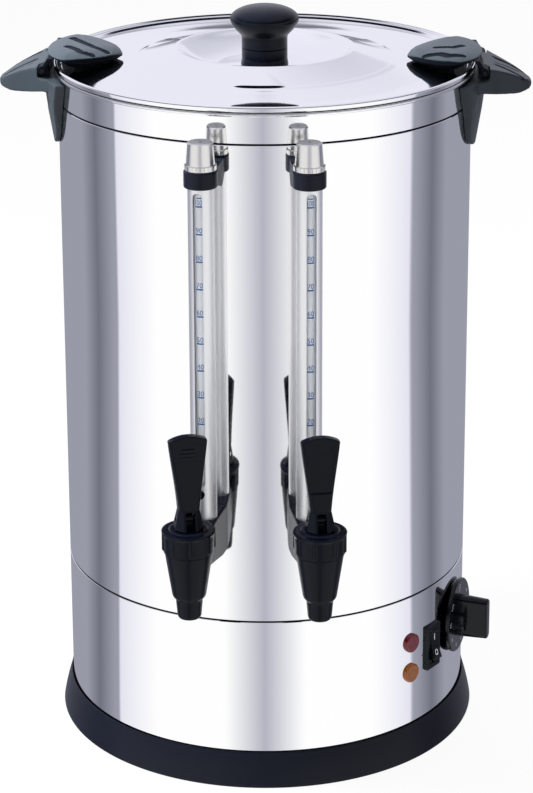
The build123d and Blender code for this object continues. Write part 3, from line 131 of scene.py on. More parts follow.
# Above the soft boxes: a pale wall, a dark band where the camera stands, and the lit ceiling over it.
HORIZON = [(-180, 236), (-118, 236), (-100, 215), (0, 180), (100, 215), (118, 225), (180, 236)]
LOW_SKY = [(-180, 236), (-140, 236), (-118, 170), (-104, 40), (-60, 26), (0, 22), (60, 26), (104, 40),
           (118, 150), (140, 205), (165, 214), (180, 236)]
HIGH_SKY = [(-180, 236), (-130, 240), (-90, 240), (-40, 215), (0, 190), (40, 215), (90, 235),
            (130, 200), (160, 216), (180, 236)]
# Heights of a ray, as the sine of its elevation, over which one part of the studio gives way to the next.
WALL_TO_HORIZON = (-0.02, 0.08)
HORIZON_TO_SKY = (0.26, 0.32)
LOW_TO_HIGH_SKY = (0.5, 0.9)
SOFT_LIGHT = (0.27, 0.273, 0.285, 1)    # what lights the matt pieces from all round
# The bands stay upright in the picture, so they close in as the wall is seen more from above.
STEEP_RAY = -0.4518
FLAT_RAY = -0.32
STEEP_SCALE = 0.952


def studio_stops():
    """Stops of the mirrored studio as (angle, tone), laid out alike on both sides."""
    half = [(GAP_HALF_W, BOX_TONE), (BOX_FADE_AT, BOX_TONE),
            (BOX_EDGE_AT - BOX_EDGE_BLUR, BOX_EDGE_TONE), (BOX_EDGE_AT + BOX_EDGE_BLUR, ROOM_TONE),
            (POST_AT - POST_HALF_W, ROOM_TONE), (POST_AT, POST_TONE), (POST_AT + POST_HALF_W, ROOM_TONE)]
    left = [(STUDIO_TURN - at, tone) for at, tone in reversed(half)]
    right = [(STUDIO_TURN + at, tone) for at, tone in half]
    return [(-180, ROOM_TONE), *left, (STUDIO_TURN, GAP_TONE), *right, (180, ROOM_TONE)]


def studio_colour(value):
    """Colour of a studio tone: white stays neutral, the darker room is bluish."""
    cool = 9.0 * min(1.0, (255 - value) / 12)
    dim = 9.0 * min(1.0, (255 - value) / 90)
    return colour(value - 0.35 * dim, value - 0.1 * cool, min(255.0, value + 1.3 * cool))


def azimuth_ramp(tree, angle, stops):
    ramp = tree.nodes.new("ShaderNodeValToRGB")
    elements = ramp.color_ramp.elements
    while len(elements) < len(stops):
        elements.new(1.0)
    for element, (at, value) in zip(elements, stops):
        element.position = at / 360 + 0.5
    for element, (at, value) in zip(elements, stops):
        element.color = studio_colour(value)
    tree.links.new(angle, ramp.inputs[0])
    return ramp.outputs[0]


def math_node(tree, operation, a, b=None):
    node = tree.nodes.new("ShaderNodeMath")
    node.operation = operation
    for i, value in enumerate((a, b)):
        if value is None:
            continue
        if isinstance(value, (int, float)):
            node.inputs[i].default_value = value
        else:
            tree.links.new(value, node.inputs[i])
    return node.outputs[0]


def range_node(tree, value, source, target, blend="SMOOTHSTEP"):
    node = tree.nodes.new("ShaderNodeMapRange")
    node.interpolation_type = blend
    tree.links.new(value, node.inputs[0])
    for socket, bound in zip(node.inputs[1:5], (*source, *target)):
        socket.default_value = bound
    return node.outputs[0]


def mix_colour(tree, factor, a, b):
    node = tree.nodes.new("ShaderNodeMix")
    node.data_type = "RGBA"
    for socket, value in ((node.inputs[0], factor), (node.inputs[6], a), (node.inputs[7], b)):
        if isinstance(value, (int, float, tuple)):
            socket.default_value = value
        else:
            tree.links.new(value, socket)
    return node.outputs[2]


def make_world():
    world = bpy.data.worlds.new("studio")
    bpy.context.scene.world = world
    world.use_nodes = True
    tree = world.node_tree
    tree.nodes.clear()
    out = tree.nodes.new("ShaderNodeOutputWorld")
    coordinates = tree.nodes.new("ShaderNodeTexCoord")
    turn = tree.nodes.new("ShaderNodeVectorRotate")
    turn.rotation_type = "Z_AXIS"
    turn.inputs["Angle"].default_value = -math.radians(CAMERA_AZ)
    tree.links.new(coordinates.outputs["Generated"], turn.inputs["Vector"])
    split = tree.nodes.new("ShaderNodeSeparateXYZ")
    tree.links.new(turn.outputs[0], split.inputs[0])
    back = math_node(tree, "MULTIPLY", split.outputs[1], -1)
    angle = math_node(tree, "ARCTAN2", split.outputs[0], back)
    narrowing = range_node(tree, split.outputs[2], (STEEP_RAY, FLAT_RAY), (STEEP_SCALE, 1.0), "LINEAR")
    half = math_node(tree, "SINE", math_node(tree, "MULTIPLY", angle, 0.5))
    upright = math_node(tree, "ARCSINE", math_node(tree, "MULTIPLY", half, narrowing))
    upright = math_node(tree, "ADD", math_node(tree, "DIVIDE", upright, math.pi), 0.5)
    turned = math_node(tree, "ADD", math_node(tree, "DIVIDE", angle, 2 * math.pi), 0.5)
    wall = azimuth_ramp(tree, upright, studio_stops())
    horizon = azimuth_ramp(tree, turned, HORIZON)
    low_sky = azimuth_ramp(tree, turned, LOW_SKY)
    high_sky = azimuth_ramp(tree, turned, HIGH_SKY)
    height = split.outputs[2]
    sky = mix_colour(tree, range_node(tree, height, LOW_TO_HIGH_SKY, (0, 1)), low_sky, high_sky)
    sky = mix_colour(tree, range_node(tree, height, HORIZON_TO_SKY, (0, 1)), horizon, sky)
    studio = mix_colour(tree, range_node(tree, height, WALL_TO_HORIZON, (0, 1)), wall, sky)
    path = tree.nodes.new("ShaderNodeLightPath")
    sharp = math_node(tree, "MAXIMUM", path.outputs["Is Glossy Ray"], path.outputs["Is Transmission Ray"])
    room = mix_colour(tree, sharp, SOFT_LIGHT, studio)
    room = mix_colour(tree, path.outputs["Is Camera Ray"], room, (1, 1, 1, 1))
    background = tree.nodes.new("ShaderNodeBackground")
    tree.links.new(room, background.inputs[0])
    tree.links.new(background.outputs[0], out.inputs[0])


LAMP_AIM_Z = 0.28
# name, azimuth, distance and height in metres, size in metres, power in watts
LAMPS = (("key", -80, 0.62, 0.98, (0.34, 0.34), 20),
         ("fill", -15, 2.4, 1.5, (1.8, 1.8), 18),
         ("top", 170, 1.2, 2.6, (1.8, 1.8), 50))


def make_lamp_panel(name, azimuth, distance, height, size, power):
    data = bpy.data.lights.new(name, "AREA")
    data.shape = "RECTANGLE"
    data.size, data.size_y = size
    data.energy = power
    lamp = bpy.data.objects.new(name, data)
    bpy.context.scene.collection.objects.link(lamp)
    lamp.location = direction(azimuth) * distance + Vector((0, 0, height))
    aim = Vector((0, 0, LAMP_AIM_Z)) - lamp.location
    lamp.rotation_euler = aim.to_track_quat("-Z", "Y").to_euler()
    lamp.visible_glossy = False


FLOOR_HALF = 6.0
FLOOR_PAPER = (0.8, 0.8, 0.81, 1)
FLOOR_WHITE_SHARE = 0.93    # the camera sees this much plain white over the floor's shadows


def make_floor():
    mesh = bpy.data.meshes.new("floor")
    half = FLOOR_HALF
    corners = [(-half, -half, 0), (half, -half, 0), (half, half, 0), (-half, half, 0)]
    mesh.from_pydata(corners, [], [(0, 1, 2, 3)])
    floor = bpy.data.objects.new("floor", mesh)
    bpy.context.scene.collection.objects.link(floor)
    material = bpy.data.materials.new("floor")
    material.use_nodes = True
    tree = material.node_tree
    tree.nodes.clear()
    out = tree.nodes.new("ShaderNodeOutputMaterial")
    path = tree.nodes.new("ShaderNodeLightPath")
    paper = tree.nodes.new("ShaderNodeBsdfDiffuse")
    paper.inputs[0].default_value = FLOOR_PAPER
    glow = tree.nodes.new("ShaderNodeEmission")
    glow.inputs[0].default_value = (1, 1, 1, 1)
    glow.inputs[1].default_value = 1.0
    seen = tree.nodes.new("ShaderNodeMixShader")
    tree.links.new(paper.outputs[0], seen.inputs[1])
    tree.links.new(glow.outputs[0], seen.inputs[2])
    white_share = math_node(tree, "MULTIPLY", path.outputs["Is Camera Ray"], FLOOR_WHITE_SHARE)
    tree.links.new(white_share, seen.inputs[0])
    clear = tree.nodes.new("ShaderNodeBsdfTransparent")
    hidden = tree.nodes.new("ShaderNodeMixShader")
    sharp = math_node(tree, "MAXIMUM", path.outputs["Is Glossy Ray"], path.outputs["Is Transmission Ray"])
    tree.links.new(sharp, hidden.inputs[0])
    tree.links.new(seen.outputs[0], hidden.inputs[1])
    tree.links.new(clear.outputs[0], hidden.inputs[2])
    tree.links.new(hidden.outputs[0], out.inputs[0])
    mesh.materials.append(material)


# ---------------------------------------------------------------- materials
MATERIALS = {}


def principled(name, base, metallic=0.0, roughness=0.4, ior=1.5, coat=0.0, transmission=0.0, gloss=0.5):
    material = bpy.data.materials.new(name)
    MATERIALS[name] = material
    material.use_nodes = True
    shader = material.node_tree.nodes["Principled BSDF"]
    shader.inputs["Base Color"].default_value = base
    shader.inputs["Metallic"].default_value = metallic
    shader.inputs["Roughness"].default_value = roughness
    shader.inputs["IOR"].default_value = ior
    shader.inputs["Specular IOR Level"].default_value = gloss
    shader.inputs["Coat Weight"].default_value = coat
    shader.inputs["Transmission Weight"].default_value = transmission
    return material


def add_grain(material, scale, depth, stretch=(1, 1, 1), roughness=None, detail=4.0):
    """Fine relief from noise, and a roughness that drifts with it."""
    tree = material.node_tree
    shader = tree.nodes["Principled BSDF"]
    where = tree.nodes.new("ShaderNodeTexCoord")
    mapping = tree.nodes.new("ShaderNodeMapping")
    mapping.inputs["Scale"].default_value = stretch
    tree.links.new(where.outputs["Object"], mapping.inputs[0])
    noise = tree.nodes.new("ShaderNodeTexNoise")
    noise.inputs["Scale"].default_value = scale
    noise.inputs["Detail"].default_value = detail
    tree.links.new(mapping.outputs[0], noise.inputs["Vector"])
    bump = tree.nodes.new("ShaderNodeBump")
    bump.inputs["Strength"].default_value = 1.0
    bump.inputs["Distance"].default_value = depth * M
    tree.links.new(noise.outputs["Fac"], bump.inputs["Height"])
    tree.links.new(bump.outputs[0], shader.inputs["Normal"])
    if roughness:
        drift = tree.nodes.new("ShaderNodeMapRange")
        drift.inputs[3].default_value, drift.inputs[4].default_value = roughness
        tree.links.new(noise.outputs["Fac"], drift.inputs[0])
        tree.links.new(drift.outputs[0], shader.inputs["Roughness"])
    return material


def make_materials():
    polished = principled("polished_steel", (0.995, 0.995, 0.998, 1), 1.0, 0.06)
    add_grain(polished, 900, 0.0006, (1, 1, 0.02), (0.035, 0.075), 2.0)
    lid = principled("polished_lid", (0.965, 0.965, 0.975, 1), 1.0, 0.05)
    add_grain(lid, 600, 0.0005, (1, 1, 1), (0.035, 0.06), 2.0)
    brushed = principled("brushed_steel", (0.72, 0.72, 0.735, 1), 1.0, 0.3)
    add_grain(brushed, 500, 0.01, (1, 1, 0.03), (0.24, 0.36))
    satin = principled("satin_guard", (0.985, 0.985, 0.99, 1), 1.0, 0.48)
    add_grain(satin, 1500, 0.003, (1, 1, 0.02), (0.44, 0.54))
    chrome = principled("bright_cap", (0.80, 0.79, 0.77, 1), 1.0, 0.24)
    add_grain(chrome, 1200, 0.001, roughness=(0.2, 0.28))
    cast = principled("cast_aluminium", (0.6, 0.6, 0.61, 1), 1.0, 0.45)
    add_grain(cast, 300, 0.05, roughness=(0.4, 0.55))
    plated = principled("plated_steel", (0.55, 0.555, 0.57, 1), 1.0, 0.35)
    add_grain(plated, 200, 0.01, roughness=(0.3, 0.42))
    sheath = principled("element_sheath", (0.22, 0.21, 0.2, 1), 0.8, 0.55)
    add_grain(sheath, 400, 0.02, roughness=(0.45, 0.65))
    moulded = principled("black_moulding", colour(15, 19, 31), 0, 0.36, gloss=0.18)
    add_grain(moulded, 1400, 0.012, roughness=(0.28, 0.38))
    handle = principled("handle_black", colour(44, 51, 57), 0, 0.4, gloss=0.22)
    add_grain(handle, 1500, 0.012, roughness=(0.34, 0.44))
    lever = principled("lever_grey", colour(50, 58, 65), 0, 0.38, gloss=0.22)
    add_grain(lever, 1500, 0.01, roughness=(0.32, 0.42))
    # A darkened copy of lever_grey: painted shade on the lever's walls, underside and finger grooves.
    under = principled("lever_painted_shade", colour(12, 16, 23), 0, 0.5, gloss=0.06)
    add_grain(under, 1500, 0.01, roughness=(0.45, 0.55))
    gloss = principled("black_gloss", colour(8, 10, 17), 0, 0.2, gloss=0.25)
    add_grain(gloss, 700, 0.004, roughness=(0.12, 0.2))
    knob = principled("black_knob", colour(6, 10, 20), 0, 0.26, gloss=0.22)
    add_grain(knob, 500, 0.002, roughness=(0.22, 0.3))
    tap = principled("black_tap", colour(5, 8, 19), 0, 0.24, gloss=0.15)
    add_grain(tap, 1200, 0.006, roughness=(0.18, 0.28))
    rubber = principled("rubber", colour(24, 24, 26), 0, 0.7)
    add_grain(rubber, 900, 0.03, roughness=(0.62, 0.78))
    nylon = principled("nylon_white", colour(226, 224, 216), 0, 0.45)
    add_grain(nylon, 900, 0.01, roughness=(0.4, 0.5))
    ceramic = principled("ceramic_white", colour(222, 219, 208), 0, 0.25)
    add_grain(ceramic, 300, 0.01, roughness=(0.2, 0.32))
    silicone = principled("silicone", colour(206, 206, 200), 0, 0.5)
    add_grain(silicone, 700, 0.008, roughness=(0.45, 0.55))
    red = principled("red_lens", colour(112, 12, 26), 0, 0.16, coat=0.2)
    add_grain(red, 700, 0.03, roughness=(0.08, 0.16))
    amber = principled("amber_lens", colour(158, 88, 14), 0, 0.16, coat=0.2)
    add_grain(amber, 700, 0.03, roughness=(0.08, 0.16))
    glass = principled("gauge_glass", (0.86, 0.89, 0.93, 1), 0, 0.2, 1.45, transmission=0.08)
    add_grain(glass, 300, 0.0005, (1, 1, 0.1))
    ink = principled("blue_ink", colour(8, 96, 168), 0, 0.5)
    add_grain(ink, 900, 0.003, roughness=(0.45, 0.55))
    white = principled("white_print", colour(232, 234, 238), 0, 0.5)
    add_grain(white, 900, 0.003, roughness=(0.45, 0.55))
    # Near-black for the black screws. Also painted shade in the open seams, the louvre mouths, the bead under
    # the lid's rim and along the grips' finger grooves.
    shadow = principled("black_screw_and_painted_shade", colour(15, 17, 22), 0, 0.7, gloss=0.05)
    add_grain(shadow, 600, 0.01, roughness=(0.65, 0.75))


# Which material each of the record's slots takes.
SLOT_MATERIAL = {
    "black_moulding": "black_moulding", "plated_steel": "plated_steel", "rubber": "rubber",
    "screw_steel": "plated_steel", "black_screw": "black_screw_and_painted_shade", "spring_steel": "brushed_steel",
    "polished_steel": "polished_steel", "tank_steel": "brushed_steel", "cast_aluminium": "cast_aluminium",
    "element_sheath": "element_sheath", "ceramic_white": "ceramic_white", "nylon_white": "nylon_white",
    "red_lens": "red_lens", "amber_lens": "amber_lens", "black_gloss": "black_gloss",
    "rocker_black": "black_gloss", "black_knob": "black_knob", "silicone": "silicone",
    "gauge_glass": "gauge_glass", "chrome_trim": "bright_cap", "handle_black": "handle_black",
    "lever_grey": "lever_grey", "black_tap": "black_tap", "guard_aluminium": "satin_guard",
}

# Pieces whose look differs from the rest of their slot.
NODE_MATERIAL = {"lock_pins": "black_gloss"}

bpy.context.scene.view_settings.view_transform = "Standard"
make_camera()
make_world()
make_floor()
for lamp_values in LAMPS:
    make_lamp_panel(*lamp_values)
make_materials()
SLOT_OF = {part["node"]: part["material_slot"] for part in frame["record"]["subparts"]}
BODY_OF = {node: body for body, nodes in frame["record"]["behaviour"]["bodies"].items() for node in nodes}


def dress_cad_nodes():
    for name, node in NODES.items():
        node.data.materials.clear()
        node.data.materials.append(MATERIALS[NODE_MATERIAL.get(name) or SLOT_MATERIAL[SLOT_OF[name]]])


dress_cad_nodes()


# ---------------------------------------------------------------- mesh helpers
def placed(name, mesh, node, material=None, sharp=30.0, second="black_screw_and_painted_shade"):
    """A shown piece that belongs to a CAD node and rides on the node's body."""
    mesh.shade_smooth()
    mesh.set_sharp_from_angle(angle=math.radians(sharp))
    if len(mesh.materials) == 2:
        mesh.materials[0] = MATERIALS[material]
        mesh.materials[1] = MATERIALS[second]
    elif material:
        mesh.materials.clear()
        mesh.materials.append(MATERIALS[material])
    piece = bpy.data.objects.new(name, mesh)
    bpy.context.scene.collection.objects.link(piece)
    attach(piece, BODY_OF[node])
    return piece


def two_tone(mesh, dark):
    """Two material slots for a mesh; dark says for each face whether it takes the second one."""
    mesh.materials.append(None)
    mesh.materials.append(None)
    for face, is_dark in zip(mesh.polygons, dark):
        face.material_index = 1 if is_dark else 0


def weld(mesh):
    """Join doubled points and turn every face outwards."""
    work = bmesh.new()
    work.from_mesh(mesh)
    bmesh.ops.remove_doubles(work, verts=work.verts, dist=1e-6)
    bmesh.ops.recalc_face_normals(work, faces=work.faces)
    work.to_mesh(mesh)
    work.free()


def lathe_mesh(name, outline, segments=192, lift=None, dark=()):
    """Closed outline of (radius, height) turned round the z axis; lift(r, angle) may raise a point.

    The outline's edges listed in dark take the mesh's second material.
    """
    mesh = bpy.data.meshes.new(name)
    vertices = []
    for i in range(segments):
        a = 2 * math.pi * i / segments
        for r, z in outline:
            h = lift(r, a) if lift else 0.0
            vertices.append((r * math.cos(a) * M, r * math.sin(a) * M, (z + h) * M))
    n = len(outline)
    faces = []
    for i in range(segments):
        j = (i + 1) % segments
        for k in range(n):
            m = (k + 1) % n
            faces.append((i * n + k, j * n + k, j * n + m, i * n + m))
    mesh.from_pydata(vertices, [], faces)
    two_tone(mesh, [index % n in dark for index in range(len(faces))])
    weld(mesh)
    return mesh


def arc(centre, radius, start, end, steps=8):
    """Points of a circular arc in (radius, height), angles in degrees."""
    return [(centre[0] + radius * math.cos(math.radians(start + (end - start) * i / steps)),
             centre[1] + radius * math.sin(math.radians(start + (end - start) * i / steps)))
            for i in range(steps + 1)]


def softened(node, voxel, rounds, material=None, reshape=None):
    """Copy of a CAD node with its edges rounded the way moulded plastic leaves them."""
    source = NODES[node]
    copy = bpy.data.objects.new("soft_copy", source.data.copy())
    bpy.context.scene.collection.objects.link(copy)
    remesh = copy.modifiers.new("remesh", "REMESH")
    remesh.mode = "VOXEL"
    remesh.voxel_size = voxel * M
    smooth = copy.modifiers.new("smooth", "SMOOTH")
    smooth.factor = 0.5
    smooth.iterations = rounds
    mesh = bpy.data.meshes.new_from_object(copy.evaluated_get(bpy.context.evaluated_depsgraph_get()))
    bpy.data.objects.remove(copy)
    if reshape:
        for vertex in mesh.vertices:
            vertex.co = Vector(reshape(*(vertex.co / M))) * M
    piece = placed(node + "_moulded", mesh, node, material or SLOT_MATERIAL[SLOT_OF[node]], 70)
    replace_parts(piece, node)
    return piece


# ---------------------------------------------------------------- polished shells
def shell_outline(low, high, foot_groove, bevel=0.25):
    """Outline of one shell; a groove at its foot leaves the joint line open."""
    inner = BODY_R - SHEET
    points = [(inner, low)]
    if foot_groove:
        points += [(BODY_R - 0.6, low), (BODY_R - 0.6, low + SEAM_SHOWN)]
        low = low + SEAM_SHOWN
    points += [(BODY_R - bevel, low), (BODY_R, low + bevel), (BODY_R, high - bevel), (BODY_R - bevel, high)]
    return points + [(inner, high)]


def make_shells():
    half = SEAM_SHOWN / 2
    for node, low, high, grooved in (
            ("control_band", BAND_LOW_Z, SEAM_LOW_Z - half, False),
            ("main_jacket", SEAM_LOW_Z - half, SEAM_HIGH_Z - half, True),
            ("top_collar", SEAM_HIGH_Z - half, COLLAR_TOP_Z, True)):
        # The faces of the foot groove take the second material: a real open joint, painted dark as its shade.
        mesh = lathe_mesh(node, shell_outline(low, high, grooved), 360, dark=(0, 1, 2) if grooved else ())
        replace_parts(placed(node + "_polished", mesh, node, "polished_steel"), node)


# ---------------------------------------------------------------- lid
LID_DISH = [(2.6, 467.6), (26, 467.6)]
LID_BOWL = ((26, 467.6), (46, 471.2), (58.2, 479.2))
LID_CREST = ((58.2, 479.2), (60.2, 479.7), (62.2, 479.2))
LID_CONE = ((62.2, 479.2), (77, 474.6), (91, 470.9))
LID_WELL = ((91, 470.9), (98, 470.25), (105, 469.69), (112, 469.21), (117, 468.93), (122, 468.77),
            (127, 468.78), (132, 468.98), (136.9, 469.32))
RIM_WALL = [(137.15, 469.5), (137.8, 471.05)]
RIM_TOP = ((137.8, 471.05), (138.6, 471.2), (139.9, 471.3))
RIM_STEP = [(139.95, 471.3), (140.2, 471.4), (140.5, 472.35)]
RIM_CROWN = ((140.85, 472.25), 0.35)    # centre and radius of each rounding
RIM_ROLL = ((141.4, 471.4), 1.1)
RIM_SIDE = (142.5, 469.9)
RIM_CURL = ((141.6, 469.85), 0.9)
RIM_BACK = [(138.4, 468.95), (137.0, 468.2)]
SKIRT_R = (131.8, 132.6)    # inner, outer
SKIRT_Z = (461.0, 468.6)    # low, high
LOUVRE_MOUTH_R = 86.5
LOUVRE_APEX_R = 69.0
LOUVRE_HALF_W = 16.5
LOUVRE_TIP_HALF_W = 4.0
LOUVRE_RISE = 1.1
LOUVRE_SHADE_AREA = 1.8e-7   # mouth faces smaller than this, in square metres, stay bright; larger ones are painted dark as the shade in an open louvre
LOUVRE_AZ = (0, 120, 240)


def through(points, steps):
    """Points of the circular arc through three points, without its last one."""
    (ax, ay), (bx, by), (cx, cy) = points
    d = 2 * (ax * (by - cy) + bx * (cy - ay) + cx * (ay - by))
    a, b, c = ax ** 2 + ay ** 2, bx ** 2 + by ** 2, cx ** 2 + cy ** 2
    ux = (a * (by - cy) + b * (cy - ay) + c * (ay - by)) / d
    uy = (a * (cx - bx) + b * (ax - cx) + c * (bx - ax)) / d
    radius = math.hypot(ax - ux, ay - uy)
    start = math.atan2(ay - uy, ax - ux)
    middle = math.atan2(by - uy, bx - ux)
    end = math.atan2(cy - uy, cx - ux)
    turn = (end - start + math.pi) % (2 * math.pi) - math.pi
    if abs((middle - start + math.pi) % (2 * math.pi) - math.pi) > abs(turn):
        turn -= math.copysign(2 * math.pi, turn)
    angles = [start + turn * i / steps for i in range(steps)]
    return [(ux + radius * math.cos(angle), uy + radius * math.sin(angle)) for angle in angles]


def flowing(points, steps):
    """Points of a smooth line through all the given points, without its last one."""
    line = []
    ends = [points[0]] + list(points) + [points[-1]]
    for a, b, c, d in zip(ends, ends[1:], ends[2:], ends[3:]):
        for i in range(steps):
            t = i / steps
            line.append(tuple(0.5 * (2 * q + (r - p) * t + (2 * p - 5 * q + 4 * r - s) * t ** 2
                                     + (3 * q - p - 3 * r + s) * t ** 3) for p, q, r, s in zip(a, b, c, d)))
    return line


def louvre_lift(r, angle):
    """How far the lid's sheet is pressed up at a point, to form the steam louvres."""
    if not LOUVRE_APEX_R - 3 < r <= LOUVRE_MOUTH_R + 0.001:
        return 0.0
    lift = 0.0
    for azimuth in LOUVRE_AZ:
        off = (angle - math.radians(azimuth - 90) + math.pi) % (2 * math.pi) - math.pi
        along = max(0.0, (r - LOUVRE_APEX_R + 3) / (LOUVRE_MOUTH_R - LOUVRE_APEX_R + 3))
        half = LOUVRE_TIP_HALF_W + (LOUVRE_HALF_W - LOUVRE_TIP_HALF_W) * along
        across = abs(off) * r / half
        if across < 1:
            lift = LOUVRE_RISE * along ** 1.4 * (1 - across ** 6) ** 0.8
    return lift


def lid_outline():
    upper = LID_DISH[:1] + through(LID_BOWL, 14) + through(LID_CREST, 6) + through(LID_CONE, 20)
    upper = [p for p in upper if abs(p[0] - LOUVRE_MOUTH_R) > 0.4]
    at = next(i for i, p in enumerate(upper) if p[0] > LOUVRE_MOUTH_R)
    (r0, z0), (r1, z1) = upper[at - 1], upper[at]
    z = z0 + (z1 - z0) * (LOUVRE_MOUTH_R - r0) / (r1 - r0)
    upper[at:at] = [(LOUVRE_MOUTH_R, z), (LOUVRE_MOUTH_R + 0.05, z)]
    mouth = at
    upper += flowing(LID_WELL, 6) + [LID_WELL[-1]]
    rim = RIM_WALL + through(RIM_TOP, 6)[1:] + RIM_STEP + arc(*RIM_CROWN, 165, 90, 3)
    rim += arc(*RIM_ROLL, 90, 0, 6) + [RIM_SIDE] + arc(*RIM_CURL, 0, -90, 4) + RIM_BACK
    lower = [(r, z - SHEET) for r, z in reversed(upper[:-1])]
    return upper + rim + lower, mouth


def make_lid():
    outline, mouth = lid_outline()
    # The riser at each louvre's mouth is painted dark as the shade inside the open louvre.
    mesh = lathe_mesh("lid_pan", outline, 480, louvre_lift, dark=(mouth,))
    for face in mesh.polygons:
        if face.material_index == 1 and face.area < LOUVRE_SHADE_AREA:
            face.material_index = 0
    lid = placed("lid_pan_polished", mesh, "lid_pan", "polished_lid", 24)
    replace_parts(lid, "lid_pan")
    inner, outer = SKIRT_R
    low, high = SKIRT_Z
    skirt = lathe_mesh("skirt", [(inner, low), (outer, low), (outer, high), (inner, high)], 240)
    placed("lid_skirt", skirt, "lid_pan", "brushed_steel")


BEAD_INNER_R = 140.2
BEAD_ROLL = ((141.3, 467.0), 1.05)      # centre and radius
BEAD_SHADED_TOP = [(141.5, 468.05), (141.9, 468.1), (141.9, 468.62), (BEAD_INNER_R, 468.62)]


def make_bead():
    """Rolled mouth of the tank; its top, under the lid's rim, is painted dark as shade and as a dark
    reflection.
    """
    outline = [(BEAD_INNER_R, COLLAR_TOP_Z)] + arc(*BEAD_ROLL, -70, 70, 8) + BEAD_SHADED_TOP
    # The top faces under the lid's rim take the dark material: painted shade and painted reflection.
    mesh = lathe_mesh("bead", outline, 300, dark=(9, 10, 11, 12))
    placed("tank_bead_polished", mesh, "inner_tank", "polished_steel", 40)


BASE_SOLE = [(144, 0), (146.2, 0)]
BASE_EDGE = ((146.2, 0.8), 0.8)         # centre and radius of each rounding
BASE_FLARE = ((147, 0.8), (144.6, 12), (141.2, 23.2))
BASE_LIP = ((140.9, 23.5), 0.5)
BASE_INSIDE = [(140.1, 24.0), (140.1, 18), (130, 18), (130, 15), (140.1, 15)]


def make_base():
    """Flared foot ring with a soft lower edge."""
    outline = BASE_SOLE + arc(*BASE_EDGE, -90, 0, 5) + through(BASE_FLARE, 16)
    outline += arc(*BASE_LIP, 30, 90, 4) + BASE_INSIDE
    mesh = lathe_mesh("base", outline, 300)
    placed("base_ring_moulded", mesh, "base_ring", "black_moulding", 35)


KNOB_R = 23.2
KNOB_WIDE_Z = 499.2
KNOB_DOME_H = 9.0
KNOB_DOME_START = 3.0


def knob_dome(x, y, z):
    """Even dome over the widest line of the lid's knob."""
    if z < KNOB_WIDE_Z:
        return x, y, z
    r = min(1.0, math.hypot(x, y) / KNOB_R)
    return x, y, KNOB_WIDE_Z + min(z - KNOB_WIDE_Z + KNOB_DOME_START, KNOB_DOME_H * (1 - r ** 2.2) ** 0.55)


# ---------------------------------------------------------------- gauge scales
SCALE_ZERO_Z = 232.0
SCALE_STEP = 1.8138   # height of one cup
SCALE_NUMBERS = range(20, 101, 10)
GLASS_R = 5.0
BAR_W = 4.4
BAR_H = 0.95
DIGIT_H = 3.4
DIGITS_W = 4.2
DIGITS_RISE = 1.0           # from a bar up to its number
TOP_BAR = (3.6, 0.7)        # width and height of the plain bar over the last number
TOP_BAR_RISE = 5.2
INK_RISE = 0.06


def flat_text(text, height, width):
    """Vertices and faces of a line of plain digits, centred over x = 0 and standing on y = 0."""
    curve = bpy.data.curves.new("digits", "FONT")
    curve.body = text
    curve.size = 10
    curve.resolution_u = 3
    holder = bpy.data.objects.new("digits", curve)
    bpy.context.scene.collection.objects.link(holder)
    mesh = bpy.data.meshes.new_from_object(holder.evaluated_get(bpy.context.evaluated_depsgraph_get()))
    bpy.data.objects.remove(holder)
    xs = [v.co.x for v in mesh.vertices]
    ys = [v.co.y for v in mesh.vertices]
    kx = width / (max(xs) - min(xs))
    ky = height / (max(ys) - min(ys))
    middle = (max(xs) + min(xs)) / 2
    points = [((v.co.x - middle) * kx, (v.co.y - min(ys)) * ky) for v in mesh.vertices]
    faces = [tuple(face.vertices) for face in mesh.polygons]
    bpy.data.meshes.remove(mesh)
    return points, faces


def strip(width, height, parts=8):
    """A flat bar of several quads, centred over x = 0 and standing on y = 0."""
    points = [(width * (i / parts - 0.5), y) for i in range(parts + 1) for y in (0, height)]
    faces = [(2 * i, 2 * i + 2, 2 * i + 3, 2 * i + 1) for i in range(parts)]
    return points, faces


def print_on(name, marks, surface, node, material):
    """Thin print: marks are (points, faces, x, y); surface turns (x, y) into a place in millimetres."""
    vertices, faces = [], []
    for points, quads, x0, y0 in marks:
        base = len(vertices)
        vertices += [surface(x + x0, y + y0) * M for x, y in points]
        faces += [tuple(base + i for i in quad) for quad in quads]
    mesh = bpy.data.meshes.new(name)
    mesh.from_pydata([tuple(v) for v in vertices], [], faces)
    placed(name, mesh, node, material)


def make_scales():
    for side, sign in SIDES.items():
        out = direction(sign * TAP_AZ)
        right = Vector((-out.y, out.x, 0))
        axis = out * GAUGE_R

        def on_glass(x, z):
            reach = GLASS_R + INK_RISE
            turn = x / reach
            return axis + (out * math.cos(turn) + right * math.sin(turn)) * reach + Vector((0, 0, z))

        marks = []
        for number in SCALE_NUMBERS:
            z = SCALE_ZERO_Z + SCALE_STEP * number
            marks.append((*strip(BAR_W, BAR_H), 0, z - BAR_H / 2))
            marks.append((*flat_text(str(number), DIGIT_H, DIGITS_W), 0, z + DIGITS_RISE))
        top = SCALE_ZERO_Z + SCALE_STEP * SCALE_NUMBERS[-1] + TOP_BAR_RISE
        marks.append((*strip(*TOP_BAR), 0, top))
        print_on("gauge_scale_" + side, marks, on_glass, "gauge_glasses", "blue_ink")


# ---------------------------------------------------------------- control marks
SWITCH_AZ = 56.6
SWITCH_Z = 74.4
ROCKER_AT = 134.5
ROCKER_RISE = 7.7
ROCKER_HALF = 10.45
ROCKER_TILT = 10.0
DIAL_AZ = 72.0
DIAL_Z = 82.5
DIAL_FACE = 144.0
RING_STRETCH = 1.25
DIAL_FIRST_AT = 55          # degrees clockwise from the top
DIAL_STEP = 36


